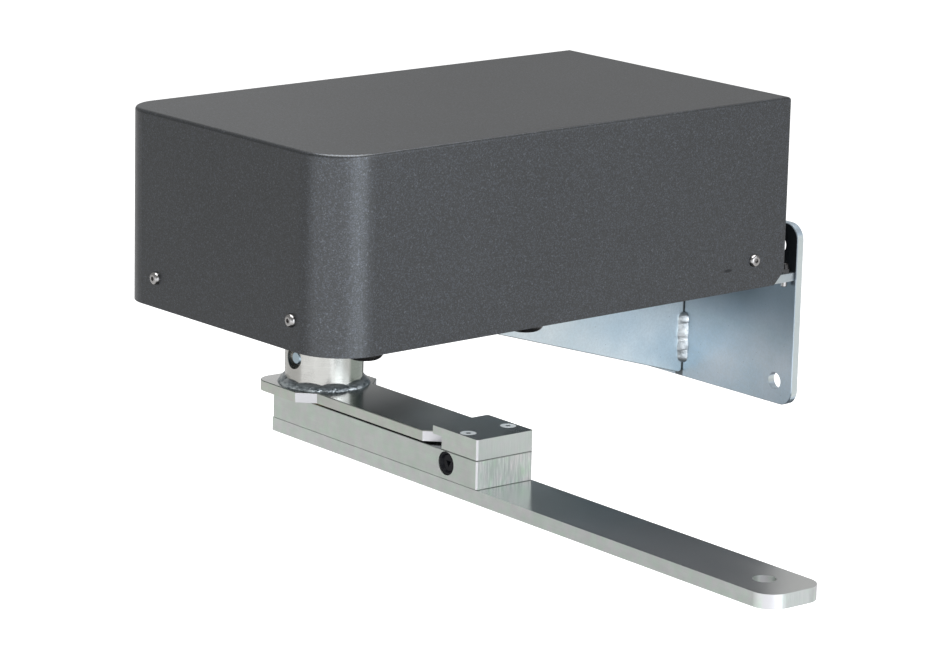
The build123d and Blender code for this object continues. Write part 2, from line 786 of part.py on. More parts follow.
# Output shaft
with BuildPart() as output_shaft:
    with BuildSketch(at_height(shaft_end)):
        Circle(shaft_diameter / 2)
    extrude(amount=shaft_shoulder - shaft_end)
    with BuildSketch(at_height(shaft_shoulder)):
        Circle(shaft_top_diameter / 2)
    extrude(amount=shaft_top - shaft_shoulder)
    chamfer(output_shaft.edges().group_by(Axis.Z)[-1], 0.8)
    with BuildSketch(at_height(shaft_end)):
        Circle(pivot_thread / 2)
    extrude(amount=pivot_thread_length + 0.5, mode=Mode.SUBTRACT)
    with BuildSketch(Plane.XZ.offset(-hub_y)):
        with Locations((0, pin_height)):
            Circle(cross_pin_diameter / 2)
    extrude(amount=shaft_diameter, both=True, mode=Mode.SUBTRACT)
    with BuildSketch(at_height(wheel_hub_bottom)):
        with Locations((-shaft_diameter / 2, 0)):
            Rectangle(2 * key_depth, key_width)
    extrude(amount=wheel_hub_top - wheel_hub_bottom, mode=Mode.SUBTRACT)
    with BuildSketch(at_height(wheel_hub_top)):
        Circle(shaft_diameter / 2)
        Circle(shaft_diameter / 2 - 1.0, mode=Mode.SUBTRACT)
    extrude(amount=circlip_width, mode=Mode.SUBTRACT)

with BuildPart() as wheel_key:
    with BuildSketch(at_height(wheel_hub_bottom)):
        with Locations((-shaft_diameter / 2 - (key_height / 2 - key_depth), 0)):
            Rectangle(key_height, key_width)
    extrude(amount=wheel_hub_top - wheel_hub_bottom)

with BuildPart() as shaft_circlip:
    with BuildSketch(at_height(wheel_hub_top)):
        Circle(circlip_diameter / 2)
        Circle(shaft_diameter / 2 - 1.0, mode=Mode.SUBTRACT)
        with Locations((0, -circlip_diameter / 2)):
            Rectangle(6.0, 10.0, mode=Mode.SUBTRACT)
    extrude(amount=circlip_width)

# Worm wheel: straight gashes tilted by the worm's lead angle
gash_half = (worm_lead / 2 + tooth_backlash) / 2
flank = tan(radians(pressure_angle))
wheel_bottom = worm_z - wheel_face / 2
gash_shift = -tan(lead_angle) * (wheel_face / 2 + 1.0)
with BuildPart() as tooth_gash:
    with BuildSketch(at_height(wheel_bottom - 1.0)):
        with BuildLine():
            outer = wheel_tip_radius + 1.0
            root_half = gash_half - flank * (wheel_pitch_radius - wheel_root_radius)
            tip_half = gash_half + flank * (outer - wheel_pitch_radius)
            Polyline(
                (wheel_root_radius, gash_shift - root_half),
                (outer, gash_shift - tip_half),
                (outer, gash_shift + tip_half),
                (wheel_root_radius, gash_shift + root_half),
                close=True,
            )
        make_face()
    extrude(amount=(wheel_face + 2.0) / cos(lead_angle), dir=(0, sin(lead_angle), cos(lead_angle)))
with BuildPart() as worm_wheel:
    with BuildSketch(at_height(wheel_bottom)):
        Circle(wheel_tip_radius)
    extrude(amount=wheel_face)
    with BuildSketch(at_height(wheel_hub_bottom)):
        Circle(wheel_hub_diameter / 2)
    extrude(amount=wheel_hub_top - wheel_hub_bottom)
    with BuildSketch(at_height(wheel_hub_bottom)):
        Circle(shaft_diameter / 2)
        with Locations((-shaft_diameter / 2 - (key_height / 2 - key_depth), 0)):
            Rectangle(key_height, key_width)
    extrude(amount=wheel_hub_top - wheel_hub_bottom, mode=Mode.SUBTRACT)
    for tooth in range(wheel_teeth):
        add(tooth_gash.part.rotate(hub_axis, 360.0 * tooth / wheel_teeth), mode=Mode.SUBTRACT)

# Worm shaft: one turned piece from the front bearing to the motor's end bell
seat = bearing_bore / 2
shaft_steps = [
    (bearing_centres[0] - bearing_width / 2 + axial_clearance, seat),
    (bearing_centres[0] + bearing_width / 2, worm_root_radius),
    (bearing_centres[1] - bearing_width / 2, seat),
    (bearing_centres[1] + bearing_width / 2 + 2.0, rotor_shaft_diameter / 2),
    (bearing_centres[2] - bearing_width / 2, seat),
]
worm_shaft_end = bearing_centres[2] + bearing_width / 2 + 1.0
thread_sink = 0.4
thread_root_depth = worm_pitch_diameter / 2 - worm_root_radius + thread_sink
thread_root_half = (worm_lead / 2 - tooth_backlash) / 2 + flank * thread_root_depth
thread_tip_half = (worm_lead / 2 - tooth_backlash) / 2 - flank * gear_module
worm_start = Plane(
    origin=(worm_x, hub_y - worm_turns / 2 * worm_lead, worm_z), x_dir=(-1, 0, 0), z_dir=(0, 1, 0)
)
with BuildPart() as worm_thread:
    with BuildLine() as thread_path:
        Helix(pitch=worm_lead, height=worm_turns * worm_lead, radius=worm_pitch_diameter / 2)
    with BuildSketch(Plane(origin=thread_path.line @ 0, x_dir=(1, 0, 0), z_dir=thread_path.line % 0)):
        with BuildLine():
            Polyline(
                (-thread_root_depth, -thread_root_half), (gear_module, -thread_tip_half),
                (gear_module, thread_tip_half), (-thread_root_depth, thread_root_half), close=True,
            )
        make_face()
    sweep(path=thread_path.line, is_frenet=True)
with BuildPart() as worm_shaft:
    for step, (start, radius) in enumerate(shaft_steps):
        end = shaft_steps[step + 1][0] if step + 1 < len(shaft_steps) else worm_shaft_end
        with BuildSketch(Plane(origin=(worm_x, start, worm_z), x_dir=(1, 0, 0), z_dir=(0, 1, 0))):
            Circle(radius)
        extrude(amount=end - start)
    with Locations(worm_start):
        add(worm_thread.part)

# Ball bearings of the worm shaft
ball_circle = (bearing_inner_rim + bearing_outer_rim) / 4
with BuildPart() as bearing_outer_rings:
    for centre in bearing_centres:
        with BuildSketch(worm_profile):
            with Locations((centre, (bearing_outer + bearing_outer_rim) / 4)):
                Rectangle(bearing_width, (bearing_outer - bearing_outer_rim) / 2)
            with Locations((centre, ball_circle)):
                Circle(ball_diameter / 2 + groove_clearance, mode=Mode.SUBTRACT)
        revolve(axis=worm_axis)
with BuildPart() as bearing_inner_rings:
    for centre in bearing_centres:
        with BuildSketch(worm_profile):
            with Locations((centre, (bearing_bore + bearing_inner_rim) / 4)):
                Rectangle(bearing_width, (bearing_inner_rim - bearing_bore) / 2)
            with Locations((centre, ball_circle)):
                Circle(ball_diameter / 2 + groove_clearance, mode=Mode.SUBTRACT)
        revolve(axis=worm_axis)
with BuildPart() as bearing_balls:
    for centre in bearing_centres:
        with Locations(Plane(origin=(worm_x, centre, worm_z), x_dir=(1, 0, 0), z_dir=(0, 1, 0))):
            with PolarLocations(ball_circle, ball_count):
                Sphere(ball_diameter / 2)

# Motor: flange, tube, stator, windings, rotor and end bell around the worm axis
def across_worm(y):
    """Plane across the worm axis at a place along it, facing the wall."""
    return Plane(origin=(worm_x, y, worm_z), x_dir=(1, 0, 0), z_dir=(0, 1, 0))


with BuildPart() as motor_flange:
    with BuildSketch(across_worm(case_rear_y)):
        Circle(motor_diameter / 2)
        Circle(rotor_shaft_diameter / 2 + 2.0, mode=Mode.SUBTRACT)
        with PolarLocations(motor_flange_screw_circle / 2, 4, start_angle=45):
            Circle(motor_flange_screw_thread / 2 + thread_clearance, mode=Mode.SUBTRACT)
    extrude(amount=motor_flange_thickness)
with BuildPart() as motor_flange_screws:
    with Locations(across_worm(motor_tube_y)):
        with PolarLocations(motor_flange_screw_circle / 2, 4, start_angle=45):
            add(
                cap_screw(
                    motor_flange_screw_thread, motor_flange_screw_head, motor_flange_screw_thread,
                    motor_flange_thickness + case_wall - 1.0, motor_flange_screw_socket,
                )
            )
with BuildPart() as motor_housing:
    with BuildSketch(across_worm(motor_tube_y)):
        Circle(motor_diameter / 2)
        Circle(motor_bore, mode=Mode.SUBTRACT)
        with PolarLocations(end_screw_circle / 2, 4, start_angle=45):
            Circle(end_screw_thread / 2, mode=Mode.SUBTRACT)
    extrude(amount=motor_length)
stator_start = motor_tube_y + (motor_length - stator_length) / 2
with BuildPart() as stator_core:
    with BuildSketch(across_worm(stator_start)):
        Circle(motor_bore)
        Circle(stator_bore / 2, mode=Mode.SUBTRACT)
        with PolarLocations(stator_bore / 2 + stator_slot_depth / 2 - 1.0, stator_slots):
            SlotOverall(stator_slot_depth, stator_slot_width, mode=Mode.SUBTRACT)
    extrude(amount=stator_length)
with BuildPart() as stator_windings:
    for start, outward in ((stator_start, -1), (stator_start + stator_length, 1)):
        with BuildSketch(across_worm(start)):
            Circle(motor_bore - winding_gap)
            Circle(motor_bore - winding_gap - winding_wall, mode=Mode.SUBTRACT)
        extrude(amount=outward * winding_length)
        ring_end = start + outward * winding_length
        end_edges = stator_windings.edges().filter_by(GeomType.CIRCLE)
        fillet(end_edges.filter_by(lambda e: abs(e.center().Y - ring_end) < 0.1), 2.5)
with BuildPart() as rotor_core:
    with BuildSketch(across_worm(stator_start)):
        Circle(stator_bore / 2 - air_gap)
        Circle(rotor_shaft_diameter / 2, mode=Mode.SUBTRACT)
    extrude(amount=stator_length)
with BuildPart() as motor_end_bell:
    with BuildSketch(across_worm(end_bell_y)):
        Circle(motor_diameter / 2)
    extrude(amount=end_bell_thickness)
    fillet(motor_end_bell.edges().group_by(Axis.Y)[-1], 1.0)
    with BuildSketch(across_worm(end_bell_y)):
        Circle(bearing_outer / 2)
    extrude(amount=bearing_width + 2.0, mode=Mode.SUBTRACT)
    with BuildSketch(across_worm(end_bell_y)):
        with PolarLocations(end_screw_circle / 2, 4, start_angle=45):
            Circle(end_screw_thread / 2 + thread_clearance)
    extrude(amount=end_bell_thickness, mode=Mode.SUBTRACT)
with BuildPart() as end_bell_screws:
    screw_face = end_bell_y + end_bell_thickness
    with Locations(across_worm(screw_face)):
        with PolarLocations(end_screw_circle / 2, 4, start_angle=45):
            add(
                cap_screw(
                    end_screw_thread, end_screw_head, end_screw_head_height,
                    end_bell_thickness + end_screw_grip, end_screw_socket,
                )
            )

# Limit switches: two cams on the shaft top and two switches on a bracket
with BuildPart() as limit_cams:
    for level, turn in ((0, 150.0), (1, -70.0)):
        height = cam_bottom + level * (cam_thickness + cam_gap)
        lobe_direction = (cos(radians(turn)), sin(radians(turn)), 0)
        with BuildSketch(Plane(origin=(0, hub_y, height), x_dir=lobe_direction, z_dir=(0, 0, 1))):
            Circle(cam_diameter / 2 - cam_lobe)
            with Locations((cam_diameter / 2 - cam_lobe - 5.0, 0)):
                Circle(5.0 + cam_lobe)
            Circle(shaft_top_diameter / 2, mode=Mode.SUBTRACT)
        extrude(amount=cam_thickness)
with BuildPart() as switch_bracket:
    bracket_x = -cam_diameter / 2 - switch_cam_gap - switch_plunger_reach - switch_depth
    with BuildSketch(Plane.XY.offset(lid_top)):
        with Locations((bracket_x, hub_y)):
            Rectangle(switch_bracket_foot, switch_length + 6.0, align=(Align.MAX, Align.CENTER))
    extrude(amount=switch_bracket_sheet)
    with BuildSketch(Plane.XY.offset(lid_top)):
        with Locations((bracket_x, hub_y)):
            Rectangle(switch_bracket_sheet, switch_length + 6.0, align=(Align.MAX, Align.CENTER))
    extrude(amount=cam_bottom + 2 * cam_thickness + cam_gap - lid_top)
with BuildPart() as limit_switches:
    for level in (0, 1):
        height = cam_bottom + level * (cam_thickness + cam_gap)
        with BuildSketch(Plane.XY.offset(height)):
            with Locations((bracket_x, hub_y)):
                Rectangle(switch_depth, switch_length, align=(Align.MIN, Align.CENTER))
        extrude(amount=cam_thickness)
        with BuildSketch(Plane.XY.offset(height + 1.0)):
            with Locations((bracket_x + switch_depth, hub_y)):
                Rectangle(switch_plunger_reach, switch_plunger, align=(Align.MIN, Align.CENTER))
        extrude(amount=cam_thickness - 2.0)

# Capacitor standing on the shelf, its stud held by a nut below
with BuildPart() as capacitor:
    with BuildSketch(Plane.XY.offset(shelf_top)):
        with Locations((capacitor_x, capacitor_y)):
            Circle(capacitor_diameter / 2)
    extrude(amount=capacitor_height)
    fillet(capacitor.edges().group_by(Axis.Z)[-1], 2.0)
    with BuildSketch(Plane.XY.offset(shelf_top)):
        with Locations((capacitor_x, capacitor_y)):
            Circle(capacitor_stud / 2)
    extrude(amount=-(bracket_thickness + 8.0))
with BuildPart() as capacitor_nut:
    with BuildSketch(Plane.XY.offset(shelf_underside)):
        with Locations((capacitor_x, capacitor_y)):
            RegularPolygon(6.5, 6, major_radius=False)
            Circle(capacitor_stud / 2, mode=Mode.SUBTRACT)
    extrude(amount=-6.5)

# Control board on standoffs
standoff_step_x = board_width - 2 * standoff_inset
standoff_step_y = board_length - 2 * standoff_inset
board_height = shelf_top + standoff_height
with BuildPart() as board_standoffs:
    with BuildSketch(Plane.XY.offset(shelf_top)):
        with Locations((board_x, board_y)):
            with GridLocations(standoff_step_x, standoff_step_y, 2, 2):
                RegularPolygon(standoff_diameter / 2, 6)
                Circle(board_screw_thread / 2, mode=Mode.SUBTRACT)
    extrude(amount=standoff_height)
with BuildPart() as control_board:
    with BuildSketch(Plane.XY.offset(board_height)):
        with Locations((board_x, board_y)):
            Rectangle(board_width, board_length)
            with GridLocations(standoff_step_x, standoff_step_y, 2, 2):
                Circle(board_screw_thread / 2 + thread_clearance, mode=Mode.SUBTRACT)
    extrude(amount=board_thickness)
board_top = board_height + board_thickness
with BuildPart() as board_screws:
    with Locations((board_x, board_y, board_top)):
        with GridLocations(standoff_step_x, standoff_step_y, 2, 2):
            add(
                cap_screw(
                    board_screw_thread, board_screw_head, board_screw_head_height,
                    board_thickness + board_screw_grip, board_screw_socket,
                )
            )
relay_y = board_y + part_gap
transformer_y = relay_y - relay_length / 2 - part_gap - transformer_length / 2
terminal_y = relay_y + relay_length / 2 + part_gap + terminal_width / 2
with BuildPart() as mains_transformer:
    with BuildSketch(Plane.XY.offset(board_top)):
        with Locations((board_x, transformer_y)):
            RectangleRounded(transformer_width, transformer_length, 2.0)
    extrude(amount=transformer_height)
    chamfer(mains_transformer.edges().group_by(Axis.Z)[-1], 1.5)
with BuildPart() as board_relays:
    with BuildSketch(Plane.XY.offset(board_top)):
        with Locations((board_x, relay_y)):
            with GridLocations(relay_step, 0, relay_count, 1):
                Rectangle(relay_width, relay_length)
    extrude(amount=relay_height)
with BuildPart() as terminal_block:
    terminal_step = terminal_length / terminal_count
    with BuildSketch(Plane.XY.offset(board_top)):
        with Locations((board_x, terminal_y)):
            Rectangle(terminal_length, terminal_width)
    extrude(amount=terminal_height)
    with BuildSketch(Plane.XY.offset(board_top + terminal_height)):
        with Locations((board_x, terminal_y)):
            with GridLocations(terminal_step, 0, terminal_count, 1):
                Circle(terminal_screw / 2)
    extrude(amount=-terminal_height / 2, mode=Mode.SUBTRACT)
    with BuildSketch(Plane.XZ.offset(-(terminal_y + terminal_width / 2))):
        with Locations((board_x, board_top + terminal_height * 0.35)):
            with GridLocations(terminal_step, 0, terminal_count, 1):
                Rectangle(terminal_step * 0.65, terminal_height * 0.3)
    extrude(amount=terminal_width / 3, mode=Mode.SUBTRACT)

# Cable gland in the shelf
with BuildPart() as cable_gland:
    with BuildSketch(Plane.XY.offset(shelf_underside)):
        with Locations((gland_x, gland_y)):
            RegularPolygon(gland_hex / 2, 6, major_radius=False)
    extrude(amount=-gland_collar)
    with BuildSketch(Plane.XY.offset(shelf_underside - gland_collar)):
        with Locations((gland_x, gland_y)):
            Circle(gland_hex / 2 - 1.0)
    extrude(amount=-gland_cap, taper=8)
    with BuildSketch(Plane.XY.offset(shelf_underside)):
        with Locations((gland_x, gland_y)):
            Circle(gland_thread / 2)
    extrude(amount=bracket_thickness + gland_nut_height + 1.0)
    with BuildSketch(Plane.XY.offset(shelf_underside - gland_collar - gland_cap)):
        with Locations((gland_x, gland_y)):
            Circle(gland_bore / 2)
    extrude(amount=gland_collar + gland_cap + bracket_thickness + gland_nut_height + 1.0, mode=Mode.SUBTRACT)
with BuildPart() as gland_nut:
    with BuildSketch(Plane.XY.offset(shelf_top)):
        with Locations((gland_x, gland_y)):
            RegularPolygon(gland_hex / 2, 6, major_radius=False)
            Circle(gland_thread / 2, mode=Mode.SUBTRACT)
    extrude(amount=gland_nut_height)

# Studs through the rear corners of the shelf, and cap nuts on them
corner_places = [(side * corner_stud_x, -corner_stud_from_wall) for side in (-1, 1)]
stud_bottom = shelf_underside - corner_stud_below
with BuildPart() as corner_screws:
    with BuildSketch(Plane.XY.offset(stud_bottom)):
        with Locations(*corner_places):
            Circle(corner_stud_thread / 2)
    extrude(amount=corner_stud_below + bracket_thickness + corner_stud_above)
    chamfer(corner_screws.edges().group_by(Axis.Z)[0], corner_stud_tip)
    with BuildSketch(Plane.XY.offset(stud_bottom)):
        with Locations(*corner_places):
            RegularPolygon(corner_stud_socket / 2, 6, major_radius=False)
    extrude(amount=corner_stud_socket_depth, mode=Mode.SUBTRACT)
with BuildPart() as corner_nuts:
    with BuildSketch(Plane.XY.offset(shelf_top)):
        with Locations(*corner_places):
            RegularPolygon(corner_nut_width / 2, 6, major_radius=False)
    extrude(amount=corner_nut_height)
    with BuildSketch(Plane.XY.offset(shelf_top + corner_nut_height)):
        with Locations(*corner_places):
            Circle(corner_cap_diameter / 2)
    extrude(amount=corner_cap_height, taper=corner_cap_slope)
    fillet(corner_nuts.edges().group_by(Axis.Z)[-1], corner_cap_round)
    with BuildSketch(Plane.XY.offset(shelf_top)):
        with Locations(*corner_places):
            Circle(corner_stud_thread / 2)
    extrude(amount=corner_stud_above, mode=Mode.SUBTRACT)

# Hub tube, pinned to the output shaft and welded on the lever
with BuildPart() as hub_tube:
    with BuildSketch(at_height(lever_top)):
        Circle(hub_diameter / 2)
        Circle(shaft_diameter / 2, mode=Mode.SUBTRACT)
    extrude(amount=hub_top - lever_top)
    chamfer(hub_tube.edges().group_by(Axis.Z)[-1], 0.8)
    with BuildSketch(Plane.XZ.offset(-hub_y)):
        with Locations((0, pin_height)):
            Circle(cross_pin_diameter / 2)
    extrude(amount=hub_diameter, both=True, mode=Mode.SUBTRACT)
    for side in (-1, 1):
        recess_start = hub_y + side * (hub_diameter / 2 - cross_pin_recess)
        with BuildSketch(Plane(origin=(0, recess_start, pin_height), x_dir=(1, 0, 0), z_dir=(0, side, 0))):
            Circle(cross_pin_recess_diameter / 2)
        extrude(amount=hub_diameter / 2, mode=Mode.SUBTRACT)

with BuildPart() as hub_cross_pin:
    with BuildSketch(Plane.XZ.offset(-hub_y)):
        with Locations((0, pin_height)):
            Circle(cross_pin_diameter / 2)
    extrude(amount=cross_pin_length / 2, both=True)
    chamfer(hub_cross_pin.edges().filter_by(GeomType.CIRCLE), 0.8)

with BuildPart() as hub_weld:
    with BuildSketch(hub_profile):
        with BuildLine():
            inner_foot = (hub_diameter / 2, lever_top)
            outer_foot = (hub_diameter / 2 + hub_weld_leg, lever_top)
            crest = (hub_diameter / 2, lever_top + hub_weld_leg)
            Line(inner_foot, outer_foot)
            RadiusArc(outer_foot, crest, -2.2 * hub_weld_leg)
            Line(crest, inner_foot)
        make_face()
    revolve(axis=hub_axis)

# Lever: a wide head welded under the hub, narrowed to a chamfered tip
with BuildPart() as lever_plate:
    with BuildSketch(arm_plane(lever_underside)):
        head_end = lever_head_length - lever_head_back
        shoulder = head_end + lever_head_chamfer
        tip_start = lever_reach - lever_tip_chamfer
        tip_half = lever_width / 2 - lever_tip_chamfer
        half_outline = [
            (-lever_head_back, lever_head_width / 2),
            (head_end, lever_head_width / 2),
            (shoulder, lever_width / 2),
            (tip_start, lever_width / 2),
            (lever_reach, tip_half),
        ]
        with BuildLine():
            Polyline(*half_outline, *[(x, -y) for x, y in reversed(half_outline)], close=True)
        make_face()
        fillet(vertices().group_by(Axis.X)[0], lever_head_corner)
        Circle(shaft_diameter / 2, mode=Mode.SUBTRACT)
        with Locations((latch_reach, 0)):
            Circle(latch_hole_diameter / 2, mode=Mode.SUBTRACT)
    extrude(amount=lever_thickness)
    chamfer(lever_plate.faces().sort_by(Axis.Z)[-1].outer_wire().edges(), edge_break)

# Arm bar: the thick hub-side part of the arm, with the lock inside
pocket_top = fork_z + fork_height / 2 + latch_travel + pocket_clearance
near_face = -arm_width / 2
bush_radius = pivot_shoulder / 2 + running_clearance + pivot_bush_wall
screw_pair = [(block_screw_reach, side * block_screw_half_spacing) for side in (-1, 1)]
rear_pair = [(rear_screw_reach, side * rear_screw_half_spacing) for side in (-1, 1)]
barrel_start = near_face + barrel_recess
barrel_end = fork_width / 2 + pocket_clearance + barrel_far_journal
with BuildPart() as arm_bar:
    with BuildSketch(arm_plane(bar_underside)):
        with Locations((-arm_back, 0)):
            Rectangle(bar_reach + arm_back, arm_width, align=(Align.MIN, Align.CENTER))
        Circle(bush_radius, mode=Mode.SUBTRACT)
        with Locations(*screw_pair):
            Circle(block_screw_thread / 2 + thread_clearance, mode=Mode.SUBTRACT)
    extrude(amount=bar_thickness)
    chamfer(arm_bar.edges().filter_by(Axis.Z).filter_by(GeomType.LINE), end_corner_break)
    chamfer(arm_bar.faces().sort_by(Axis.Z)[-1].outer_wire().edges(), seam_break)
    chamfer(arm_bar.faces().sort_by(Axis.Z)[0].outer_wire().edges(), seam_break)
    with BuildSketch(arm_plane(bar_underside)):
        pocket_start = latch_reach - latch_diameter / 2 - pocket_clearance
        pocket_length = barrel_reach + pocket_clearance - pocket_start
        with Locations((pocket_start, 0)):
            Rectangle(pocket_length, fork_width + 2 * pocket_clearance, align=(Align.MIN, Align.CENTER))
    extrude(amount=pocket_top - bar_underside, mode=Mode.SUBTRACT)
    with BuildSketch(arm_plane(bar_underside)):
        with Locations((latch_reach, 0)):
            Circle(latch_diameter / 2 + latch_clearance)
    extrude(amount=bar_thickness, mode=Mode.SUBTRACT)
    with BuildSketch(arm_plane(bar_underside)):
        with Locations(*rear_pair):
            Circle(block_screw_thread / 2)
    extrude(amount=rear_screw_depth - flat_thickness + 0.5, mode=Mode.SUBTRACT)
    with BuildSketch(arm_cross_plane(barrel_reach, near_face - 1.0, barrel_z)):
        Circle(barrel_diameter / 2 + barrel_clearance)
    extrude(amount=barrel_end + 0.3 - near_face + 1.0, mode=Mode.SUBTRACT)

# Flat bar of the arm
with BuildPart() as flat_bar:
    with BuildSketch(arm_plane(flat_underside)):
        with Locations((-arm_back, 0)):
            Rectangle(flat_reach + arm_back, arm_width, align=(Align.MIN, Align.CENTER))
        fillet(vertices().group_by(Axis.X)[-1], flat_tip_corner)
        Circle(bush_radius, mode=Mode.SUBTRACT)
        with Locations((tip_hole_reach, 0)):
            Circle(tip_hole_diameter / 2, mode=Mode.SUBTRACT)
        with Locations(*screw_pair):
            Circle(block_screw_thread / 2, mode=Mode.SUBTRACT)
        with Locations(*rear_pair):
            Circle(block_screw_thread / 2 + thread_clearance, mode=Mode.SUBTRACT)
    extrude(amount=flat_thickness)
    with BuildSketch(arm_plane(flat_underside)):
        Circle(pivot_head_diameter / 2 + 0.5)
    extrude(amount=pivot_head_height + 0.3, mode=Mode.SUBTRACT)
    with Locations(arm_plane(flat_underside)):
        with Locations(*[Location((x, y, 0), (180, 0, 0)) for x, y in rear_pair]):
            add(countersink(block_screw_thread, block_screw_head), mode=Mode.SUBTRACT)

# End block: its lip reaches over the tip of the lever
block_back = bar_reach - block_length
with BuildPart() as end_block:
    with BuildSketch(arm_plane(arm_top_height)):
        with Locations((block_back, 0)):
            Rectangle(block_length, arm_width, align=(Align.MIN, Align.CENTER))
        with Locations(*screw_pair):
            Circle(block_screw_thread / 2 + thread_clearance, mode=Mode.SUBTRACT)
    extrude(amount=block_thickness)
    chamfer(end_block.edges().filter_by(Axis.Z).filter_by(GeomType.LINE), end_corner_break)
    chamfer(end_block.faces().sort_by(Axis.Z)[0].outer_wire().edges(), seam_break)
    with BuildSketch(arm_plane(arm_top_height)):
        with Locations((block_back - 1.0, 0)):
            Rectangle(lip_length + 1.0, arm_width + 2.0, align=(Align.MIN, Align.CENTER))
    extrude(amount=block_thickness - lip_thickness, mode=Mode.SUBTRACT)
    with Locations(arm_plane(block_top)):
        with Locations(*screw_pair):
            add(countersink(block_screw_thread, block_screw_head), mode=Mode.SUBTRACT)

block_screw_length = block_thickness + bar_thickness + block_screw_grip
block_screw = countersunk_screw(
    block_screw_thread, block_screw_head, block_screw_length, block_screw_socket
)
with BuildPart() as block_screws:
    with Locations(arm_plane(block_top)):
        with Locations(*screw_pair):
            add(block_screw)
with BuildPart() as arm_rear_screws:
    with Locations(arm_plane(flat_underside)):
        with Locations(*[Location((x, y, 0), (180, 0, 0)) for x, y in rear_pair]):
            add(
                countersunk_screw(
                    block_screw_thread, block_screw_head, rear_screw_depth, block_screw_socket
                )
            )

# Arm pivot: bush in the bar, shoulder screw in the shaft end, washer under the lever
bush_bottom = flat_underside + pivot_head_height + 0.3
with BuildPart() as pivot_bush:
    with BuildSketch(arm_plane(bush_bottom)):
        Circle(bush_radius)
        Circle(pivot_shoulder / 2 + running_clearance, mode=Mode.SUBTRACT)
    extrude(amount=arm_top_height - bush_bottom)
with BuildPart() as pivot_screw:
    with BuildSketch(at_height(flat_underside)):
        Circle(pivot_head_diameter / 2)
    extrude(amount=pivot_head_height)
    with BuildSketch(at_height(flat_underside + pivot_head_height)):
        Circle(pivot_shoulder / 2)
    extrude(amount=shaft_end - flat_underside - pivot_head_height)
    with BuildSketch(at_height(shaft_end)):
        Circle(pivot_thread / 2)
    extrude(amount=pivot_thread_length)
    with BuildSketch(at_height(flat_underside)):
        RegularPolygon(pivot_socket / 2, 6, major_radius=False)
    extrude(amount=pivot_socket_depth, mode=Mode.SUBTRACT)
with BuildPart() as thrust_washer:
    with BuildSketch(at_height(arm_top_height)):
        Circle(washer_diameter / 2)
        Circle(pivot_shoulder / 2 + 2 * running_clearance, mode=Mode.SUBTRACT)
    extrude(amount=washer_thickness)

# Release barrel: a turning lock whose crank pin works the latch
with BuildPart() as release_barrel:
    with BuildSketch(arm_cross_plane(barrel_reach, barrel_start, barrel_z)):
        Circle(barrel_diameter / 2)
    extrude(amount=-fork_width / 2 - pocket_clearance - barrel_start)
    with BuildSketch(arm_cross_plane(barrel_reach, fork_width / 2 + pocket_clearance, barrel_z)):
        Circle(barrel_diameter / 2)
    extrude(amount=barrel_far_journal)
    with BuildSketch(arm_cross_plane(barrel_reach, -fork_width / 2 - pocket_clearance - 1.0, barrel_z)):
        with Locations((-crank_drop, crank_drop)):
            Circle(crank_diameter / 2)
    extrude(amount=fork_width + 2 * pocket_clearance + 2.0)
    with BuildSketch(arm_cross_plane(barrel_reach, barrel_start, barrel_z)):
        Circle(barrel_dish_diameter / 2)
    extrude(amount=barrel_dish_depth, taper=barrel_dish_slope, mode=Mode.SUBTRACT)
    with BuildSketch(arm_cross_plane(barrel_reach, barrel_start, barrel_z)):
        RegularPolygon(key_socket / 2, 3, rotation=90)
    extrude(amount=key_socket_depth, mode=Mode.SUBTRACT)

# Latch pin with the fork that the crank pin works
pin_top = arm_top_height - latch_top_drop
with BuildPart() as latch_pin:
    with BuildSketch(arm_plane(fork_z - fork_height / 2)):
        with Locations((latch_reach, 0)):
            Circle(latch_diameter / 2)
    extrude(amount=pin_top - fork_z + fork_height / 2)
    chamfer(latch_pin.edges().group_by(Axis.Z)[-1], 0.6)
    with BuildSketch(arm_plane(fork_z - fork_height / 2)):
        with Locations((latch_reach, 0)):
            Rectangle(barrel_reach - latch_reach, fork_width, align=(Align.MIN, Align.CENTER))
    extrude(amount=fork_height)
    slot_start = barrel_reach - crank_radius - crank_diameter / 2 - pocket_clearance
    with BuildSketch(arm_plane(fork_z - fork_slot / 2)):
        with Locations((slot_start, 0)):
            Rectangle(crank_radius * 4, fork_width + 2.0, align=(Align.MIN, Align.CENTER))
    extrude(amount=fork_slot, mode=Mode.SUBTRACT)
    with BuildSketch(arm_plane(fork_z - fork_height / 2)):
        with Locations((latch_reach, 0)):
            Circle(spring_diameter / 2 + spring_wire / 2 + spring_bore_clearance)
    extrude(amount=spring_bore_depth, mode=Mode.SUBTRACT)

# Spring under the latch pin
spring_bottom = bar_underside + spring_wire / 2
spring_height = fork_z - fork_height / 2 + spring_bore_depth - bar_underside - spring_wire
with BuildPart() as spring_coil:
    with BuildLine() as spring_path:
        Helix(pitch=spring_height / spring_turns, height=spring_height, radius=spring_diameter / 2)
    with BuildSketch(Plane(origin=spring_path.line @ 0, x_dir=(1, 0, 0), z_dir=spring_path.line % 0)):
        Circle(spring_wire / 2)
    sweep(path=spring_path.line, is_frenet=True)
with BuildPart() as latch_spring:
    with Locations(arm_plane(spring_bottom)):
        with Locations((latch_reach, 0)):
            add(spring_coil.part)

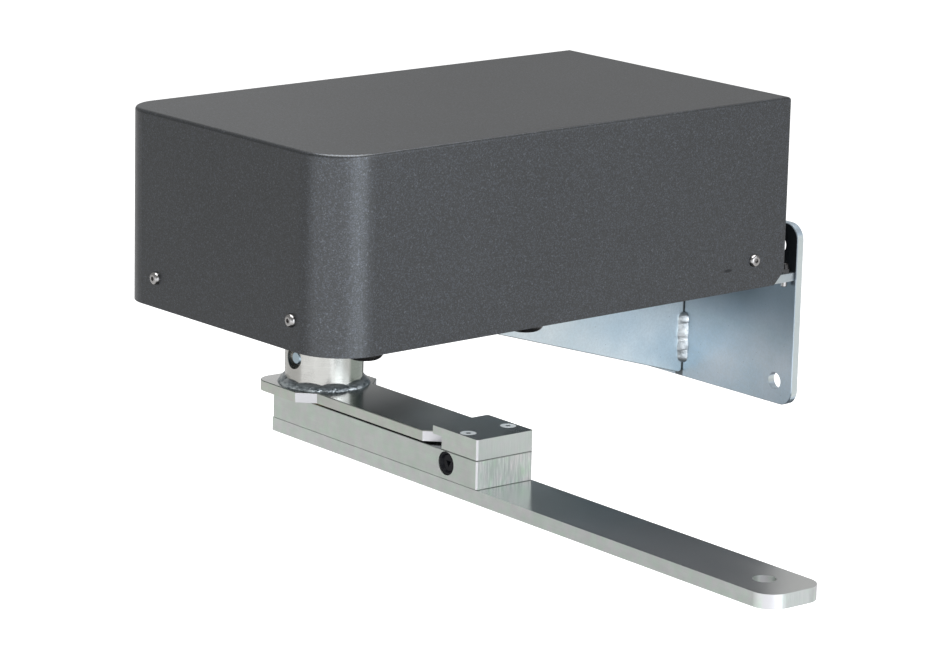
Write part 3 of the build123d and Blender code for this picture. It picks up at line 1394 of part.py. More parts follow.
nodes = {
    "wall_plate": wall_plate,
    "shelf_plate": shelf_plate,
    "gusset_plate": gusset_plate,
    "bracket_welds": bracket_welds,
    "cover": cover,
    "cover_tabs": cover_tabs,
    "cover_screws": cover_screws,
    "gear_case": gear_case,
    "gear_case_lid": gear_case_lid,
    "lid_screws": lid_screws,
    "base_bolts": base_bolts,
    "lower_bush": lower_bush,
    "upper_bush": upper_bush,
    "shaft_seal": shaft_seal,
    "output_shaft": output_shaft,
    "wheel_key": wheel_key,
    "shaft_circlip": shaft_circlip,
    "worm_wheel": worm_wheel,
    "worm_shaft": worm_shaft,
    "bearing_outer_rings": bearing_outer_rings,
    "bearing_inner_rings": bearing_inner_rings,
    "bearing_balls": bearing_balls,
    "motor_flange": motor_flange,
    "motor_flange_screws": motor_flange_screws,
    "motor_housing": motor_housing,
    "stator_core": stator_core,
    "stator_windings": stator_windings,
    "rotor_core": rotor_core,
    "motor_end_bell": motor_end_bell,
    "end_bell_screws": end_bell_screws,
    "limit_cams": limit_cams,
    "switch_bracket": switch_bracket,
    "limit_switches": limit_switches,
    "capacitor": capacitor,
    "capacitor_nut": capacitor_nut,
    "board_standoffs": board_standoffs,
    "control_board": control_board,
    "board_screws": board_screws,
    "mains_transformer": mains_transformer,
    "board_relays": board_relays,
    "terminal_block": terminal_block,
    "cable_gland": cable_gland,
    "gland_nut": gland_nut,
    "corner_screws": corner_screws,
    "corner_nuts": corner_nuts,
    "hub_tube": hub_tube,
    "hub_cross_pin": hub_cross_pin,
    "hub_weld": hub_weld,
    "lever_plate": lever_plate,
    "arm_bar": arm_bar,
    "flat_bar": flat_bar,
    "end_block": end_block,
    "block_screws": block_screws,
    "arm_rear_screws": arm_rear_screws,
    "pivot_bush": pivot_bush,
    "pivot_screw": pivot_screw,
    "thrust_washer": thrust_washer,
    "release_barrel": release_barrel,
    "latch_pin": latch_pin,
    "latch_spring": latch_spring,
}

os.makedirs("parts", exist_ok=True)
for name, node in nodes.items():
    node.part.label = name
    export_step(node.part, f"parts/{name}.step")
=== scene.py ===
# %% [markdown]
# # A gate operator with a long arm, dressed for a studio picture
# The CAD model already holds every solid of this gate operator: the wall bracket, the folded
# cover, the gearmotor under it and the two-part arm. This lesson loads that model, sets up the
# camera and a soft studio, and then gives each piece a finish that is worked out from nodes.
# Only the weld beads are modelled here, because a CAD solid can just hint at them.

# %% Load the frame
from math import cos, pi, radians, sin
from random import Random

import bpy
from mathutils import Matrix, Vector


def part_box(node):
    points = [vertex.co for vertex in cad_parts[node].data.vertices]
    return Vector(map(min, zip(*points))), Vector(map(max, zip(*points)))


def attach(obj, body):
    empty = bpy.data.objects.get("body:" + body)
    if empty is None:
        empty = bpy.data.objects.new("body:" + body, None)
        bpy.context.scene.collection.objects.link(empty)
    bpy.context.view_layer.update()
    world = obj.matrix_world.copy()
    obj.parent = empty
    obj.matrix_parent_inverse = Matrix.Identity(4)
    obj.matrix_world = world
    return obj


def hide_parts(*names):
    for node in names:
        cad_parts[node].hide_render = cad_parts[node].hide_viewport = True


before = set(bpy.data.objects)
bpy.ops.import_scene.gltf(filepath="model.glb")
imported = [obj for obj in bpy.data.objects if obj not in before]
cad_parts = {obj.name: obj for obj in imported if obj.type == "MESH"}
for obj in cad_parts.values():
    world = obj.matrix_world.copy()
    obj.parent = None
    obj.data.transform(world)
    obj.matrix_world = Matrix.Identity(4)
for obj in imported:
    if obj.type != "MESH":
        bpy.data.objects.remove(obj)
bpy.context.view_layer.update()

# %% [markdown]
# ## Measures that the cells below share
# The frame is in metres. The output shaft line stands 290.8 mm in front of the wall. Reading
# heights from the nodes' own boxes keeps every new piece on the solid that carries it.

# %% Places on the object
mm = 0.001
shaft_line = Vector((0.0, -290.8 * mm, 0.0))
lever_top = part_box("lever_plate")[1].z
hub_low, hub_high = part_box("hub_tube")
hub_radius = (hub_high.x - hub_low.x) / 2
plate_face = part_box("wall_plate")[0].y
gusset_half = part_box("gusset_plate")[1].x
shelf_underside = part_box("shelf_plate")[0].z
print("lever top", round(lever_top / mm, 2), "mm, hub radius", round(hub_radius / mm, 2), "mm")

# %% [markdown]
# ## Camera
# The photograph was taken with a long lens from the right and a little above. The place, the
# turn and the lens come from matching the cover's long straight edges, so nothing needs a shift.

# %% Camera at the photograph's angle
camera_data = bpy.data.cameras.new("photo_camera")
camera_data.sensor_width = 36.0
camera_data.lens = 153.6
camera_data.clip_end = 60.0
camera = bpy.data.objects.new("photo_camera", camera_data)
camera.location = (1.7975, -1.7197, 0.5659)
camera.rotation_euler = (radians(76.5226), radians(-1.3523), radians(49.6593))
bpy.context.collection.objects.link(camera)
bpy.context.scene.camera = camera
bpy.context.scene.view_settings.view_transform = "Standard"
print("camera looks from", tuple(round(c, 3) for c in camera.location))

# %% [markdown]
# ## Floor and dark cards
# The picture has a white ground. Seen from 13 degrees above, an upright face mirrors the floor
# in front of it and a flat top mirrors what stands behind it. So the floor glows a little, and
# the floor that the camera sees is a second sheet, whose white doesn't depend on the light that
# reaches it. Two dark cards, which only reflections and bounced light see, stand behind the
# object and lie under it to keep the polished tops dark.

# %% Floor, cards and sky
floor_level = -0.55
middle = (0.05, -0.25, 0.05)


def cleared():
    """Nothing selected and no edit mode, so that the next operator acts only on its own piece."""
    if bpy.context.object and bpy.context.object.mode != "OBJECT":
        bpy.ops.object.mode_set(mode="OBJECT")
    bpy.ops.object.select_all(action="DESELECT")


def around(azimuth, distance, height):
    """A place at an azimuth and a distance from the object's middle."""
    turn = radians(azimuth)
    return (middle[0] + distance * cos(turn), middle[1] + distance * sin(turn), height)


def studio_sheet(name, place, size, grey, lean=(0.0, 0.0, 0.0), glow=0.0):
    """A flat sheet of the studio, which is no part of the object."""
    cleared()
    bpy.ops.mesh.primitive_plane_add(size=1.0, location=place, rotation=lean)
    sheet = bpy.context.object
    sheet.name = name
    sheet.scale = (size[0], size[1], 1.0)
    material = bpy.data.materials.new(name)
    material.use_nodes = True
    shader = material.node_tree.nodes["Principled BSDF"]
    shader.inputs["Base Color"].default_value = (grey, grey, grey, 1.0)
    shader.inputs["Roughness"].default_value = 1.0
    shader.inputs["Specular IOR Level"].default_value = 0.0
    shader.inputs["Emission Color"].default_value = (1.0, 1.0, 1.0, 1.0)
    shader.inputs["Emission Strength"].default_value = glow
    sheet.data.materials.append(material)
    return sheet


def dark_card(name, place, size, lean):
    """A nearly black card that only reflections and bounced light see."""
    card = studio_sheet(name, place, size, grey=0.05, lean=lean)
    card.visible_camera = False
    card.visible_shadow = False
    print(name, "at", tuple(round(c, 2) for c in place))


floor = studio_sheet("studio_floor", (0.0, 0.0, floor_level), (40.0, 40.0), grey=0.85, glow=0.7)
floor.visible_diffuse = False
floor.visible_glossy = False
under_floor = (0.0, 0.0, floor_level - 2.0 * mm)
bounce = studio_sheet("studio_bounce", under_floor, (14.0, 14.0), grey=0.75, glow=0.52)
bounce.visible_camera = False
upright, lying = (radians(90.0), 0.0, radians(47.0)), (0.0, 0.0, radians(45.0))
dark_card("card_low_behind", around(137.0, 1.3, -0.33), (1.1, 0.42), upright)
dark_card("card_under", (0.02, -0.2, -0.22), (0.66, 0.66), lying)
world = bpy.data.worlds.new("studio_white")
bpy.context.scene.world = world
world.use_nodes = True
sky = world.node_tree.nodes["Background"]
sky.inputs["Color"].default_value = (1.0, 1.0, 0.995, 1.0)
sky.inputs["Strength"].default_value = 0.42
print("studio sheets:", floor.name, bounce.name, "at height", floor_level)

# %% [markdown]
# ## Soft lights
# A row of low softboxes stands round the front: the one on the right is the strongest and gives
# the hub and the cover's round corner their bright band. The light beside the camera only fills
# in, so it is kept out of reflections: a mirror image of it would turn the cover's top white
# when seen from behind. For the same reason the light above is kept from the arm's polished
# flats by light linking.


# %% Softboxes
def softbox(name, place, aim, size, power, colour=(1.0, 1.0, 1.0)):
    """A large area light at a place, turned to face a point."""
    light = bpy.data.lights.new(name, "AREA")
    light.shape = "RECTANGLE"
    light.size, light.size_y = size
    light.energy = power
    light.color = colour
    box = bpy.data.objects.new(name, light)
    box.location = place
    box.rotation_euler = (Vector(aim) - Vector(place)).to_track_quat("-Z", "Y").to_euler()
    box.visible_camera = False
    bpy.context.collection.objects.link(box)
    return box


above = softbox("softbox_above", (0.1, -0.2, 2.2), middle, size=(2.4, 2.0), power=85.0)
arm_flats = bpy.data.collections.new("kept_from_softbox_above")
for number, name in enumerate(("arm_bar", "flat_bar", "end_block", "lever_plate")):
    arm_flats.objects.link(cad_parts[name])
    arm_flats.collection_objects[number].light_linking.link_state = "EXCLUDE"
above.light_linking.receiver_collection = arm_flats
blueish, bluer, sky_blue = (0.97, 1.0, 1.05), (0.93, 1.0, 1.07), (0.72, 0.88, 1.0)
softbox("softbox_right", around(30.0, 2.3, 0.75), middle, size=(1.2, 1.4), power=8.0, colour=blueish)
row_distance = 1.7
for azimuth, width, bottom, top, power, colour in (
    (-86.0, 1.4, -0.53, 0.25, 3.0, blueish),
    (-42.0, 1.5, -0.53, 0.25, 3.2, blueish),
    (-2.5, 1.05, -0.53, 0.25, 4.8, bluer),
    (-2.5, 1.05, 0.05, 0.75, 7.0, blueish),
):
    height = (bottom + top) / 2
    place, aim = around(azimuth, row_distance, height), (middle[0], middle[1], height)
    softbox("softbox_low", place, aim, (width, top - bottom), power, colour)
behind, low_middle = around(155.0, 3.0, 0.88), (middle[0], middle[1], 0.0)
softbox("softbox_behind_left", behind, low_middle, size=(1.35, 0.7), power=0.6)
beside_camera = around(-42.0, 2.9, 0.85)
fill = softbox("softbox_camera", beside_camera, middle, size=(1.8, 0.7), power=40.0, colour=sky_blue)
fill.visible_glossy = False

# %% [markdown]
# ## Writing a finish as arithmetic
# A material's nodes can be wired by hand, but a page of wiring says little. Here a Signal wraps
# one output socket, so that plus, minus and times between signals add the Math nodes.


# %% A socket with arithmetic
class Signal:
    """One output socket on its way through a material, with arithmetic."""

    def __init__(self, finish, socket):
        self.finish = finish
        self.socket = socket

    def join(self, operation, first, second):
        return self.finish.make("Math", {"operation": operation}, {0: first, 1: second})

    def __add__(self, other):
        return self.join("ADD", self, other)

    __radd__ = __add__

    def __sub__(self, other):
        return self.join("SUBTRACT", self, other)

    def __rsub__(self, other):
        return self.join("SUBTRACT", other, self)

    def __mul__(self, other):
        return self.join("MULTIPLY", self, other)

    __rmul__ = __mul__

    def between(self, low, high):
        """0 below low, 1 above high, and a smooth rise from one to the other."""
        smooth = {"interpolation_type": "SMOOTHSTEP"}
        return self.finish.make("MapRange", smooth, {0: self, 1: low, 2: high})


# %% [markdown]
# ## One finish and its nodes
# A Finish holds one material and makes any other node. What changes over a surface only feeds
# colour, roughness, metal, coat weight or the bump, and everything constant is set on its
# socket. Patterns read Object coordinates, so they stay on the piece when it moves.


# %% A finish
class Finish:
    """One procedural material: a Principled shader and the nodes that feed it."""

    def __init__(self, name, colour, metal=0.0, roughness=0.5, **sockets):
        self.material = bpy.data.materials.new(name)
        self.material.use_nodes = True
        self.tree = self.material.node_tree
        self.shader = self.tree.nodes["Principled BSDF"]
        self.shader.inputs["Base Color"].default_value = (*colour, 1.0)
        self.shader.inputs["Metallic"].default_value = metal
        self.shader.inputs["Roughness"].default_value = roughness
        for socket, value in sockets.items():
            self.shader.inputs[socket.replace("_", " ")].default_value = value
        coordinates = self.tree.nodes.new("ShaderNodeTexCoord")
        self.place = Signal(self, coordinates.outputs["Object"])
        self.normal = Signal(self, coordinates.outputs["Normal"])

    def make(self, kind, settings, values, output=0):
        """Add a node: its settings first, then the values or links of its sockets."""
        node = self.tree.nodes.new("ShaderNode" + kind)
        for name, setting in settings.items():
            if name == "stops":
                while len(node.color_ramp.elements) < len(setting):
                    node.color_ramp.elements.new(0.5)
                for element, (position, colour) in zip(node.color_ramp.elements, setting):
                    element.position = position
                    element.color = (*colour, 1.0)
            else:
                setattr(node, name, setting)
        for name, value in values.items():
            if isinstance(value, Signal):
                self.tree.links.new(value.socket, node.inputs[name])
            else:
                node.inputs[name].default_value = value
        return Signal(self, node.outputs[output])

    def spread(self, size, stretch=(1.0, 1.0, 1.0)):
        """Object coordinates counted in steps of size millimetres, longer along a stretched axis."""
        scale = [1.0 / (size * mm * longer) for longer in stretch]
        return self.make("Mapping", {}, {"Vector": self.place, "Scale": scale})

    def noise(self, size, detail=2.0, stretch=(1.0, 1.0, 1.0), rough=0.5):
        """A cloudy pattern whose blots are about size millimetres apart."""
        values = {"Vector": self.spread(size, stretch), "Scale": 1.0}
        return self.make("TexNoise", {}, {**values, "Detail": detail, "Roughness": rough})

    def cells(self, size, output="Distance", stretch=(1.0, 1.0, 1.0)):
        """Cells about size millimetres wide: the distance to their middles, or a Color each."""
        return self.make("TexVoronoi", {}, {"Vector": self.spread(size, stretch), "Scale": 1.0}, output)

    def part_of(self, vector, axis):
        """The x (0), y (1) or z (2) part of a vector."""
        return self.make("SeparateXYZ", {}, {0: vector}, axis)

    def along(self, axis):
        """Where a point is along an axis, in metres."""
        return self.part_of(self.place, axis)

    def distance(self, axis, level):
        """How far a point is from the plane at level on an axis."""
        return self.make("Math", {"operation": "ABSOLUTE"}, {0: self.along(axis) - level})

    def facing(self, axis, low, high, way=None):
        """1 on faces that look along an axis, or only one way along it if way is 1 or -1."""
        part = self.part_of(self.normal, axis)
        return (part * (part if way is None else way)).between(low, high)

    def mix(self, mask, first, second):
        """A colour between two colours, or two colour signals."""
        pair = [c if isinstance(c, Signal) else (*c, 1.0) for c in (first, second)]
        return self.make("Mix", {"data_type": "RGBA"}, {0: mask, 6: pair[0], 7: pair[1]}, 2)

    def ramp(self, signal, *stops):
        """A colour for each place of the signal, from stops of a place and a colour."""
        return self.make("ValToRGB", {"stops": stops}, {0: signal})

    def feed(self, **sockets):
        """Join signals to the shader's sockets."""
        for name, signal in sockets.items():
            self.tree.links.new(signal.socket, self.shader.inputs[name.replace("_", " ")])

    def bump(self, height, depth):
        """Raise the surface by depth millimetres where height is 1."""
        values = {"Height": height, "Strength": 1.0, "Distance": depth * mm}
        self.feed(Normal=self.make("Bump", {}, values))


# %% [markdown]
# ## Dressing the CAD nodes
# A CAD node keeps its mesh and only gets another material in its slots. Pieces of the same stock
# share one finish.


# %% Two helpers for colours and slots
def shade(colour, by):
    """A colour made darker, or lighter where by is above 1."""
    return tuple(by * part for part in colour)


def dress(finish, *nodes):
    """Give CAD nodes a finish in place of their plain material."""
    for name in nodes:
        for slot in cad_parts[name].material_slots:
            slot.material = finish.material
    print(finish.material.name, "on", ", ".join(nodes))


# %% [markdown]
# ## Powder coat of the cover
# The cover is steel sheet with a dark textured powder coat that holds fine metal flecks. Close
# up it is slightly bumpy, like fine orange peel, and single flecks glint. A flat grey would look
# like plastic. The coat is modelled as a dark, rather rough metal, because it is the flecks that
# send the light back: a face that mirrors a softbox brightens and the others stay dark. Small
# Voronoi cells with a random value pick the flecks, noise makes the peel, and a slow noise keeps
# large faces from being one even tone. The nose gets a little painted shade, and the right side
# has a small dark scuff near its rear screw.

# %% Cover paint
paint_grey = (0.082, 0.084, 0.086)
paint = Finish("cover_powder_coat", paint_grey, metal=0.9, roughness=0.36, Specular_IOR_Level=0.45)
fleck_size, spark_size, peel_size, slow_size = 0.55, 0.75, 1.1, 70.0
fleck_value = paint.part_of(paint.cells(fleck_size, "Color"), 0)
spark_value = paint.part_of(paint.cells(spark_size, "Color"), 1)
flecks = fleck_value.between(0.6, 1.0)
sparks = spark_value.between(0.94, 1.0)
pits = (1.0 - fleck_value).between(0.7, 1.0)
peel = paint.noise(peel_size, 3.0)
slow = paint.noise(slow_size, 1.0)
shadow_tone = (0.04, 0.041, 0.042)
tone = paint.mix(slow, (0.0695, 0.0715, 0.0735), (0.079, 0.0815, 0.084))
tone = paint.mix(flecks * 0.35, tone, (0.175, 0.195, 0.235))
tone = paint.mix(sparks * 0.22, tone, (0.29, 0.315, 0.345))
tone = paint.mix(pits * 0.4, tone, shadow_tone)

scuff_middle, scuff_sharpness = (0.1, -0.063, 0.0364), (60.0, 240.0, 850.0)
from_scuff = paint.make("VectorMath", {"operation": "SUBTRACT"}, {0: paint.place, 1: scuff_middle})
scuff_shape = paint.make("VectorMath", {"operation": "MULTIPLY"}, {0: from_scuff, 1: scuff_sharpness})
scuff_reach = paint.make("VectorMath", {"operation": "LENGTH"}, {0: scuff_shape}, "Value")
scuff = 1.0 - scuff_reach.between(0.5, 1.1)
tone = paint.mix(scuff * 0.7, tone, (0.02, 0.02, 0.022))
# painted shade: faces that look towards the nose are darkened a little
nose_painted_shade = paint.facing(1, 0.9, 0.99, -1.0)
tone = paint.mix(nose_painted_shade * 0.22, tone, shadow_tone)
paint.feed(Base_Color=tone, Roughness=0.3 + 0.12 * peel, Metallic=0.88 + 0.12 * flecks)
paint.bump(0.7 * peel + 0.4 * fleck_value, 0.016)
dress(paint, "cover")

# %% [markdown]
# ## Zinc plate of the bracket
# The bracket's plates are zinc plated and passivated, which leaves a pale blue with milky clouds,
# a few warmer patches and a faint rolling grain. Slow noise gives the clouds, a stretched noise
# the grain and a small one the speckle. Tiny dark specks are pores in the plating. The wall
# plate also gets painted shade towards the cover and to the right, where less light reaches its
# front, and above the shelf its face is painted nearly black, as painted shade. The shelf's
# underside is darkened with painted shade as well.


# %% Bracket zinc
pore_tone, seam_tone = (0.12, 0.13, 0.14), (0.03, 0.024, 0.016)
edge_tone, gap_shade_tone = (0.6, 0.64, 0.61), (0.05, 0.055, 0.06)
grain_size, speckle_size, pore_spacing, seam_noise_size = 0.5, 1.5, 5.5, 6.0


def clouded_zinc(
    name, low, high, warm, roughness, grain_stretch, cloud_size=45.0,
    seam=None, shade_heights=None, edge_grey=0.0, under_shade=0.0,
):
    """Passivated zinc: clouds between two tones, warmer patches, fine grain, speckle and pores.

    seam is the axis and the level of a plane, with the two distances between which the dark line
    beside it fades. shade_heights is the two heights between which the front is darkened with
    painted shade. edge_grey says how much the narrow edges turn grey, and under_shade how much
    the underside is darkened with painted shade.
    """
    zinc = Finish(name, high, metal=0.9, roughness=roughness)
    clouds = zinc.noise(cloud_size, 4.0, rough=0.6)
    patches = zinc.noise(cloud_size * 1.7, 2.0).between(0.56, 0.74)
    grain = zinc.noise(grain_size, 2.0, grain_stretch)
    pores = 1.0 - zinc.cells(pore_spacing).between(0.035, 0.06)
    speckle = zinc.noise(speckle_size, 3.0, rough=0.7).between(0.4, 0.6)
    colour = zinc.mix(clouds.between(0.3, 0.7), low, high)
    colour = zinc.mix(patches * 0.55, colour, warm)
    colour = zinc.mix(grain * 0.25, colour, shade(low, 0.72))
    colour = zinc.mix(speckle * 0.16, colour, shade(warm, 0.6))
    colour = zinc.mix(pores * 0.55, colour, pore_tone)
    front = zinc.facing(1, 0.5, 0.9, -1.0)
    if seam:
        axis, level, near, far = seam
        # a dark brownish line beside the seam, fading away from it
        seam_line = 1.0 - zinc.distance(axis, level).between(near, far)
        if axis == 0:
            seam_line = seam_line * front
        colour = zinc.mix(seam_line * (0.65 + 0.35 * zinc.noise(seam_noise_size, 2.0)), colour, seam_tone)
    colour = zinc.mix(zinc.facing(0, 0.8, 0.95) * edge_grey, colour, edge_tone)
    # painted shade: faces that look downward are darkened
    colour = zinc.mix(zinc.facing(2, 0.5, 0.9, -1.0) * under_shade, colour, shade(low, 0.4))
    if shade_heights:
        height = zinc.along(2)
        right = zinc.along(0).between(52.0 * mm, 85.0 * mm)
        # painted shade: the front darkens towards the cover and to the right, and above the shelf it is
        # painted nearly black
        shaded = front * (height.between(*shade_heights) * (1.0 - 0.3 * right) + 0.15 * right)
        above_shelf_shade = front * height.between(shelf_underside, shelf_underside + 2.0 * mm)
        colour = zinc.mix(shaded, colour, shade(low, 0.2))
        colour = zinc.mix(above_shelf_shade * 0.8, colour, gap_shade_tone)
    zinc.feed(Base_Color=colour, Roughness=roughness - 0.06 + 0.1 * grain + 0.08 * clouds)
    zinc.bump(0.7 * grain + 0.5 * clouds - pores, 0.012)
    return zinc


shelf_zinc = clouded_zinc(
    "shelf_zinc", low=(0.36, 0.42, 0.46), high=(0.5, 0.55, 0.58), warm=(0.56, 0.59, 0.56),
    roughness=0.32, grain_stretch=(1.0, 1.0, 30.0), under_shade=0.95,
)
dress(shelf_zinc, "shelf_plate")
plate_zinc = clouded_zinc(
    "plate_zinc", low=(0.49, 0.61, 0.71), high=(0.66, 0.74, 0.82), warm=(0.72, 0.75, 0.68),
    roughness=0.27, grain_stretch=(1.0, 1.0, 2.5), edge_grey=0.7, shade_heights=(-42.0 * mm, 14.0 * mm),
    seam=(0, 0.0, gusset_half + 0.3 * mm, gusset_half + 1.3 * mm),
)
dress(plate_zinc, "wall_plate")
gusset_zinc = clouded_zinc(
    "gusset_zinc", low=(0.64, 0.74, 0.79), high=(0.86, 0.9, 0.91), warm=(0.76, 0.81, 0.82),
    roughness=0.32, grain_stretch=(1.0, 2.5, 1.0), cloud_size=60.0,
    seam=(1, plate_face, 0.3 * mm, 1.5 * mm),
)
dress(gusset_zinc, "gusset_plate")
tab_zinc = clouded_zinc(
    "tab_zinc", low=(0.5, 0.54, 0.56), high=(0.62, 0.66, 0.68), warm=(0.6, 0.6, 0.55),
    roughness=0.38, grain_stretch=(1.0, 1.0, 8.0), cloud_size=12.0,
)
dress(tab_zinc, "cover_tabs", "switch_bracket")

# %% [markdown]
# ## Zinc of the arm
# The arm's flat stock is drawn smooth on its broad faces and a little rougher on its sides,
# with a green-grey passivation. Its tops mirror the dark card behind the object and the sides
# show the bright floor, so the roughness has to follow the direction of the face. The tops
# also get a tone of their own, painted light and shade for what they mirror, and along the arm
# it changes as a painted reflection. The lever's head is lighter near the hub, a painted
# reflection of the hub. The saw and mill marks on the end faces run upright, and the
# passivation shimmers green and pink there; the end faces also get painted shade. The block's
# joint with the bar is a thin dark line.

# %% Arm zinc
top_roughness, side_roughness = 0.17, 0.42
draw_size, mill_size, tint_size, shimmer_size, mottle_size, wipe_size = 0.45, 0.5, 5.0, 7.0, 9.0, 30.0
facet_tone, joint_tone, painted_reflection_tone = (0.62, 0.615, 0.63), (0.03, 0.03, 0.03), (0.85, 0.86, 0.85)
green_and_pink = (
    (0.3, (0.5, 0.68, 0.5)), (0.48, (0.68, 0.73, 0.68)),
    (0.62, (0.73, 0.68, 0.68)), (0.75, (0.58, 0.71, 0.66)),
)


def drawn_zinc(name, side, top, end_marks, joint=None, far_top_reflection=None, painted_reflection=None):
    """Drawn bar stock: smooth tops, rougher sides, and upright mill marks on the ends.

    joint is the height of a joint's dark line. far_top_reflection is the two places along the arm
    between which the top's tone changes to a painted reflection, and the tone of that reflection.
    painted_reflection is the two places between which the lighter tone of a painted reflection
    on the top ends.
    """
    zinc = Finish(name, side, metal=1.0, roughness=side_roughness)
    flat = zinc.facing(2, 0.7, 0.9)
    end = zinc.facing(0, 0.9, 0.98)
    endward, across = zinc.part_of(zinc.normal, 0), zinc.part_of(zinc.normal, 1)
    facet = (endward * endward * across * across).between(0.1, 0.2)
    draw_lines = zinc.noise(draw_size, 2.0, (60.0, 1.0, 1.0))
    mill_lines = zinc.noise(mill_size, 3.0, (1.0, 1.0, 25.0), 0.65)
    mottle = zinc.noise(mottle_size, 4.0, rough=0.6)
    wipe = zinc.noise(wipe_size, 2.0, (3.0, 1.0, 1.0))
    colour = zinc.mix(mottle.between(0.3, 0.75), side, shade(side, 1.1))
    colour = zinc.mix(draw_lines * 0.3, colour, shade(side, 0.8))
    slow_tint = zinc.noise(tint_size, 2.0)
    tints = zinc.ramp(slow_tint, (0.35, (0.96, 1.02, 0.95)), (0.65, (1.02, 0.98, 0.99)))
    colour = zinc.make("VectorMath", {"operation": "MULTIPLY"}, {0: colour, 1: tints})
    colour = zinc.mix(facet, colour, facet_tone)
    # painted reflection: the top's tone changes along the arm to what the top mirrors there
    if far_top_reflection:
        start, full, far_reflection_tone = far_top_reflection
        top = zinc.mix(zinc.along(0).between(start, full), top, far_reflection_tone)
    # painted light and shade: the tops get their own tone, set for what they mirror
    colour = zinc.mix(flat, colour, top)
    shimmer = zinc.ramp(zinc.noise(shimmer_size, 2.0, (1.0, 1.0, 1.6)), *green_and_pink)
    marked = zinc.mix(mill_lines.between(0.35, 0.7), shade(side, 0.72), shimmer)
    # painted shade: the end faces are darkened
    colour = zinc.mix(end * 0.6, colour, shade(side, 0.72))
    colour = zinc.mix(end * end_marks, colour, marked)
    if joint is not None:
        line = 1.0 - zinc.distance(2, joint).between(0.25 * mm, 0.6 * mm)
        colour = zinc.mix(line * (1.0 - flat) * 0.9, colour, joint_tone)
    # painted reflection: the top is lighter near the hub, the hub's reflection on the lever
    if painted_reflection:
        painted_reflection_mask = flat * (1.0 - zinc.along(0).between(*painted_reflection))
        colour = zinc.mix(painted_reflection_mask * 0.9, colour, painted_reflection_tone)
    smooth = side_roughness - (side_roughness - top_roughness) * flat
    zinc.feed(Base_Color=colour, Roughness=smooth + 0.1 * wipe - 0.05 + 0.06 * draw_lines)
    zinc.bump(0.5 * draw_lines * (1.0 - flat) + mill_lines * end * end_marks + 0.25 * mottle, 0.01)
    return zinc


bar_zinc = drawn_zinc("arm_bar_zinc", side=(0.575, 0.61, 0.59), top=(0.5, 0.53, 0.53), end_marks=0.9)
flat_zinc = drawn_zinc(
    "flat_bar_zinc", side=(0.61, 0.64, 0.63), top=(0.47, 0.495, 0.485), end_marks=0.2,
    far_top_reflection=(190.0 * mm, 340.0 * mm, (0.96, 0.97, 0.96)),
)
block_zinc = drawn_zinc(
    "end_block_zinc", side=(0.59, 0.62, 0.6), top=(0.46, 0.47, 0.46), end_marks=0.15,
    joint=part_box("end_block")[0].z,
)
lever_zinc = drawn_zinc(
    "lever_zinc", side=(0.55, 0.575, 0.54), top=(0.72, 0.73, 0.72), end_marks=0.1,
    far_top_reflection=(45.0 * mm, 90.0 * mm, (0.27, 0.275, 0.27)), painted_reflection=(-14.0 * mm, 12.0 * mm),
)
dress(bar_zinc, "arm_bar")
dress(flat_zinc, "flat_bar")
dress(block_zinc, "end_block")
dress(lever_zinc, "lever_plate")

# %% [markdown]
# ## Turned and bright steel
# The hub tube, the pins, the shafts and the screws are turned, and a lathe leaves fine rings.
# On an upright part the rings are thin layers of height, so a noise that is squeezed along the
# axis and very long across it draws them. One function makes them for either axis.


# %% Turned steel
around_z, around_y, no_rings = (40.0, 40.0, 1.0), (40.0, 1.0, 40.0), (1.0, 1.0, 1.0)


def turned_steel(name, colour, roughness, stretch, ring=0.35, depth=0.006):
    """Steel from the lathe: fine rings across the axis, with faint stains."""
    steel = Finish(name, colour, metal=1.0, roughness=roughness)
    rings = steel.noise(ring, 2.0, stretch)
    stains = steel.noise(11.0, 3.0).between(0.45, 0.75)
    tone = steel.mix(rings * 0.45, colour, shade(colour, 0.75))
    steel.tone = steel.mix(stains * 0.25, tone, shade(colour, 0.8))
    steel.feed(Base_Color=steel.tone, Roughness=roughness - 0.05 + 0.14 * rings + 0.06 * stains)
    steel.bump(rings, depth)
    return steel


pin_steel = turned_steel("cross_pin_zinc", (0.4, 0.5, 0.56), 0.28, around_y)
shaft_steel = turned_steel("ground_shaft", (0.56, 0.57, 0.58), 0.2, around_z)
worm_steel = turned_steel("ground_worm", (0.54, 0.55, 0.57), 0.18, around_y)
screw_steel = turned_steel("bright_screws", (0.4, 0.39, 0.385), 0.17, no_rings, ring=0.6)
dress(pin_steel, "hub_cross_pin")
dress(shaft_steel, "output_shaft", "limit_cams", "shaft_circlip", "wheel_key")
dress(shaft_steel, "latch_pin", "latch_spring")
dress(worm_steel, "worm_shaft", "bearing_outer_rings", "bearing_inner_rings", "bearing_balls")
dress(screw_steel, "cover_screws", "corner_screws", "capacitor_nut", "board_screws")

# %% [markdown]
# ## Painted highlight and reflection on the hub
# The hub gets a narrow painted highlight towards the strongest softbox, and beyond it a green
# painted reflection. Both are laid by the direction from the shaft line: a dot product says how
# far a point reaches towards an azimuth.

# %% Hub tube
hub_zinc = turned_steel("hub_zinc", (0.465, 0.46, 0.435), 0.22, around_z, depth=0.002)
from_shaft = hub_zinc.make(
    "VectorMath", {"operation": "SUBTRACT"}, {0: hub_zinc.place, 1: tuple(shaft_line)}
)


def hub_side(azimuth, start, full):
    """1 on the hub's side towards an azimuth, where the reach passes start and full hub radii."""
    way = (cos(radians(azimuth)), sin(radians(azimuth)), 0.0)
    reach = hub_zinc.make("VectorMath", {"operation": "DOT_PRODUCT"}, {0: from_shaft, 1: way}, "Value")
    return reach.between(start * hub_radius, full * hub_radius)


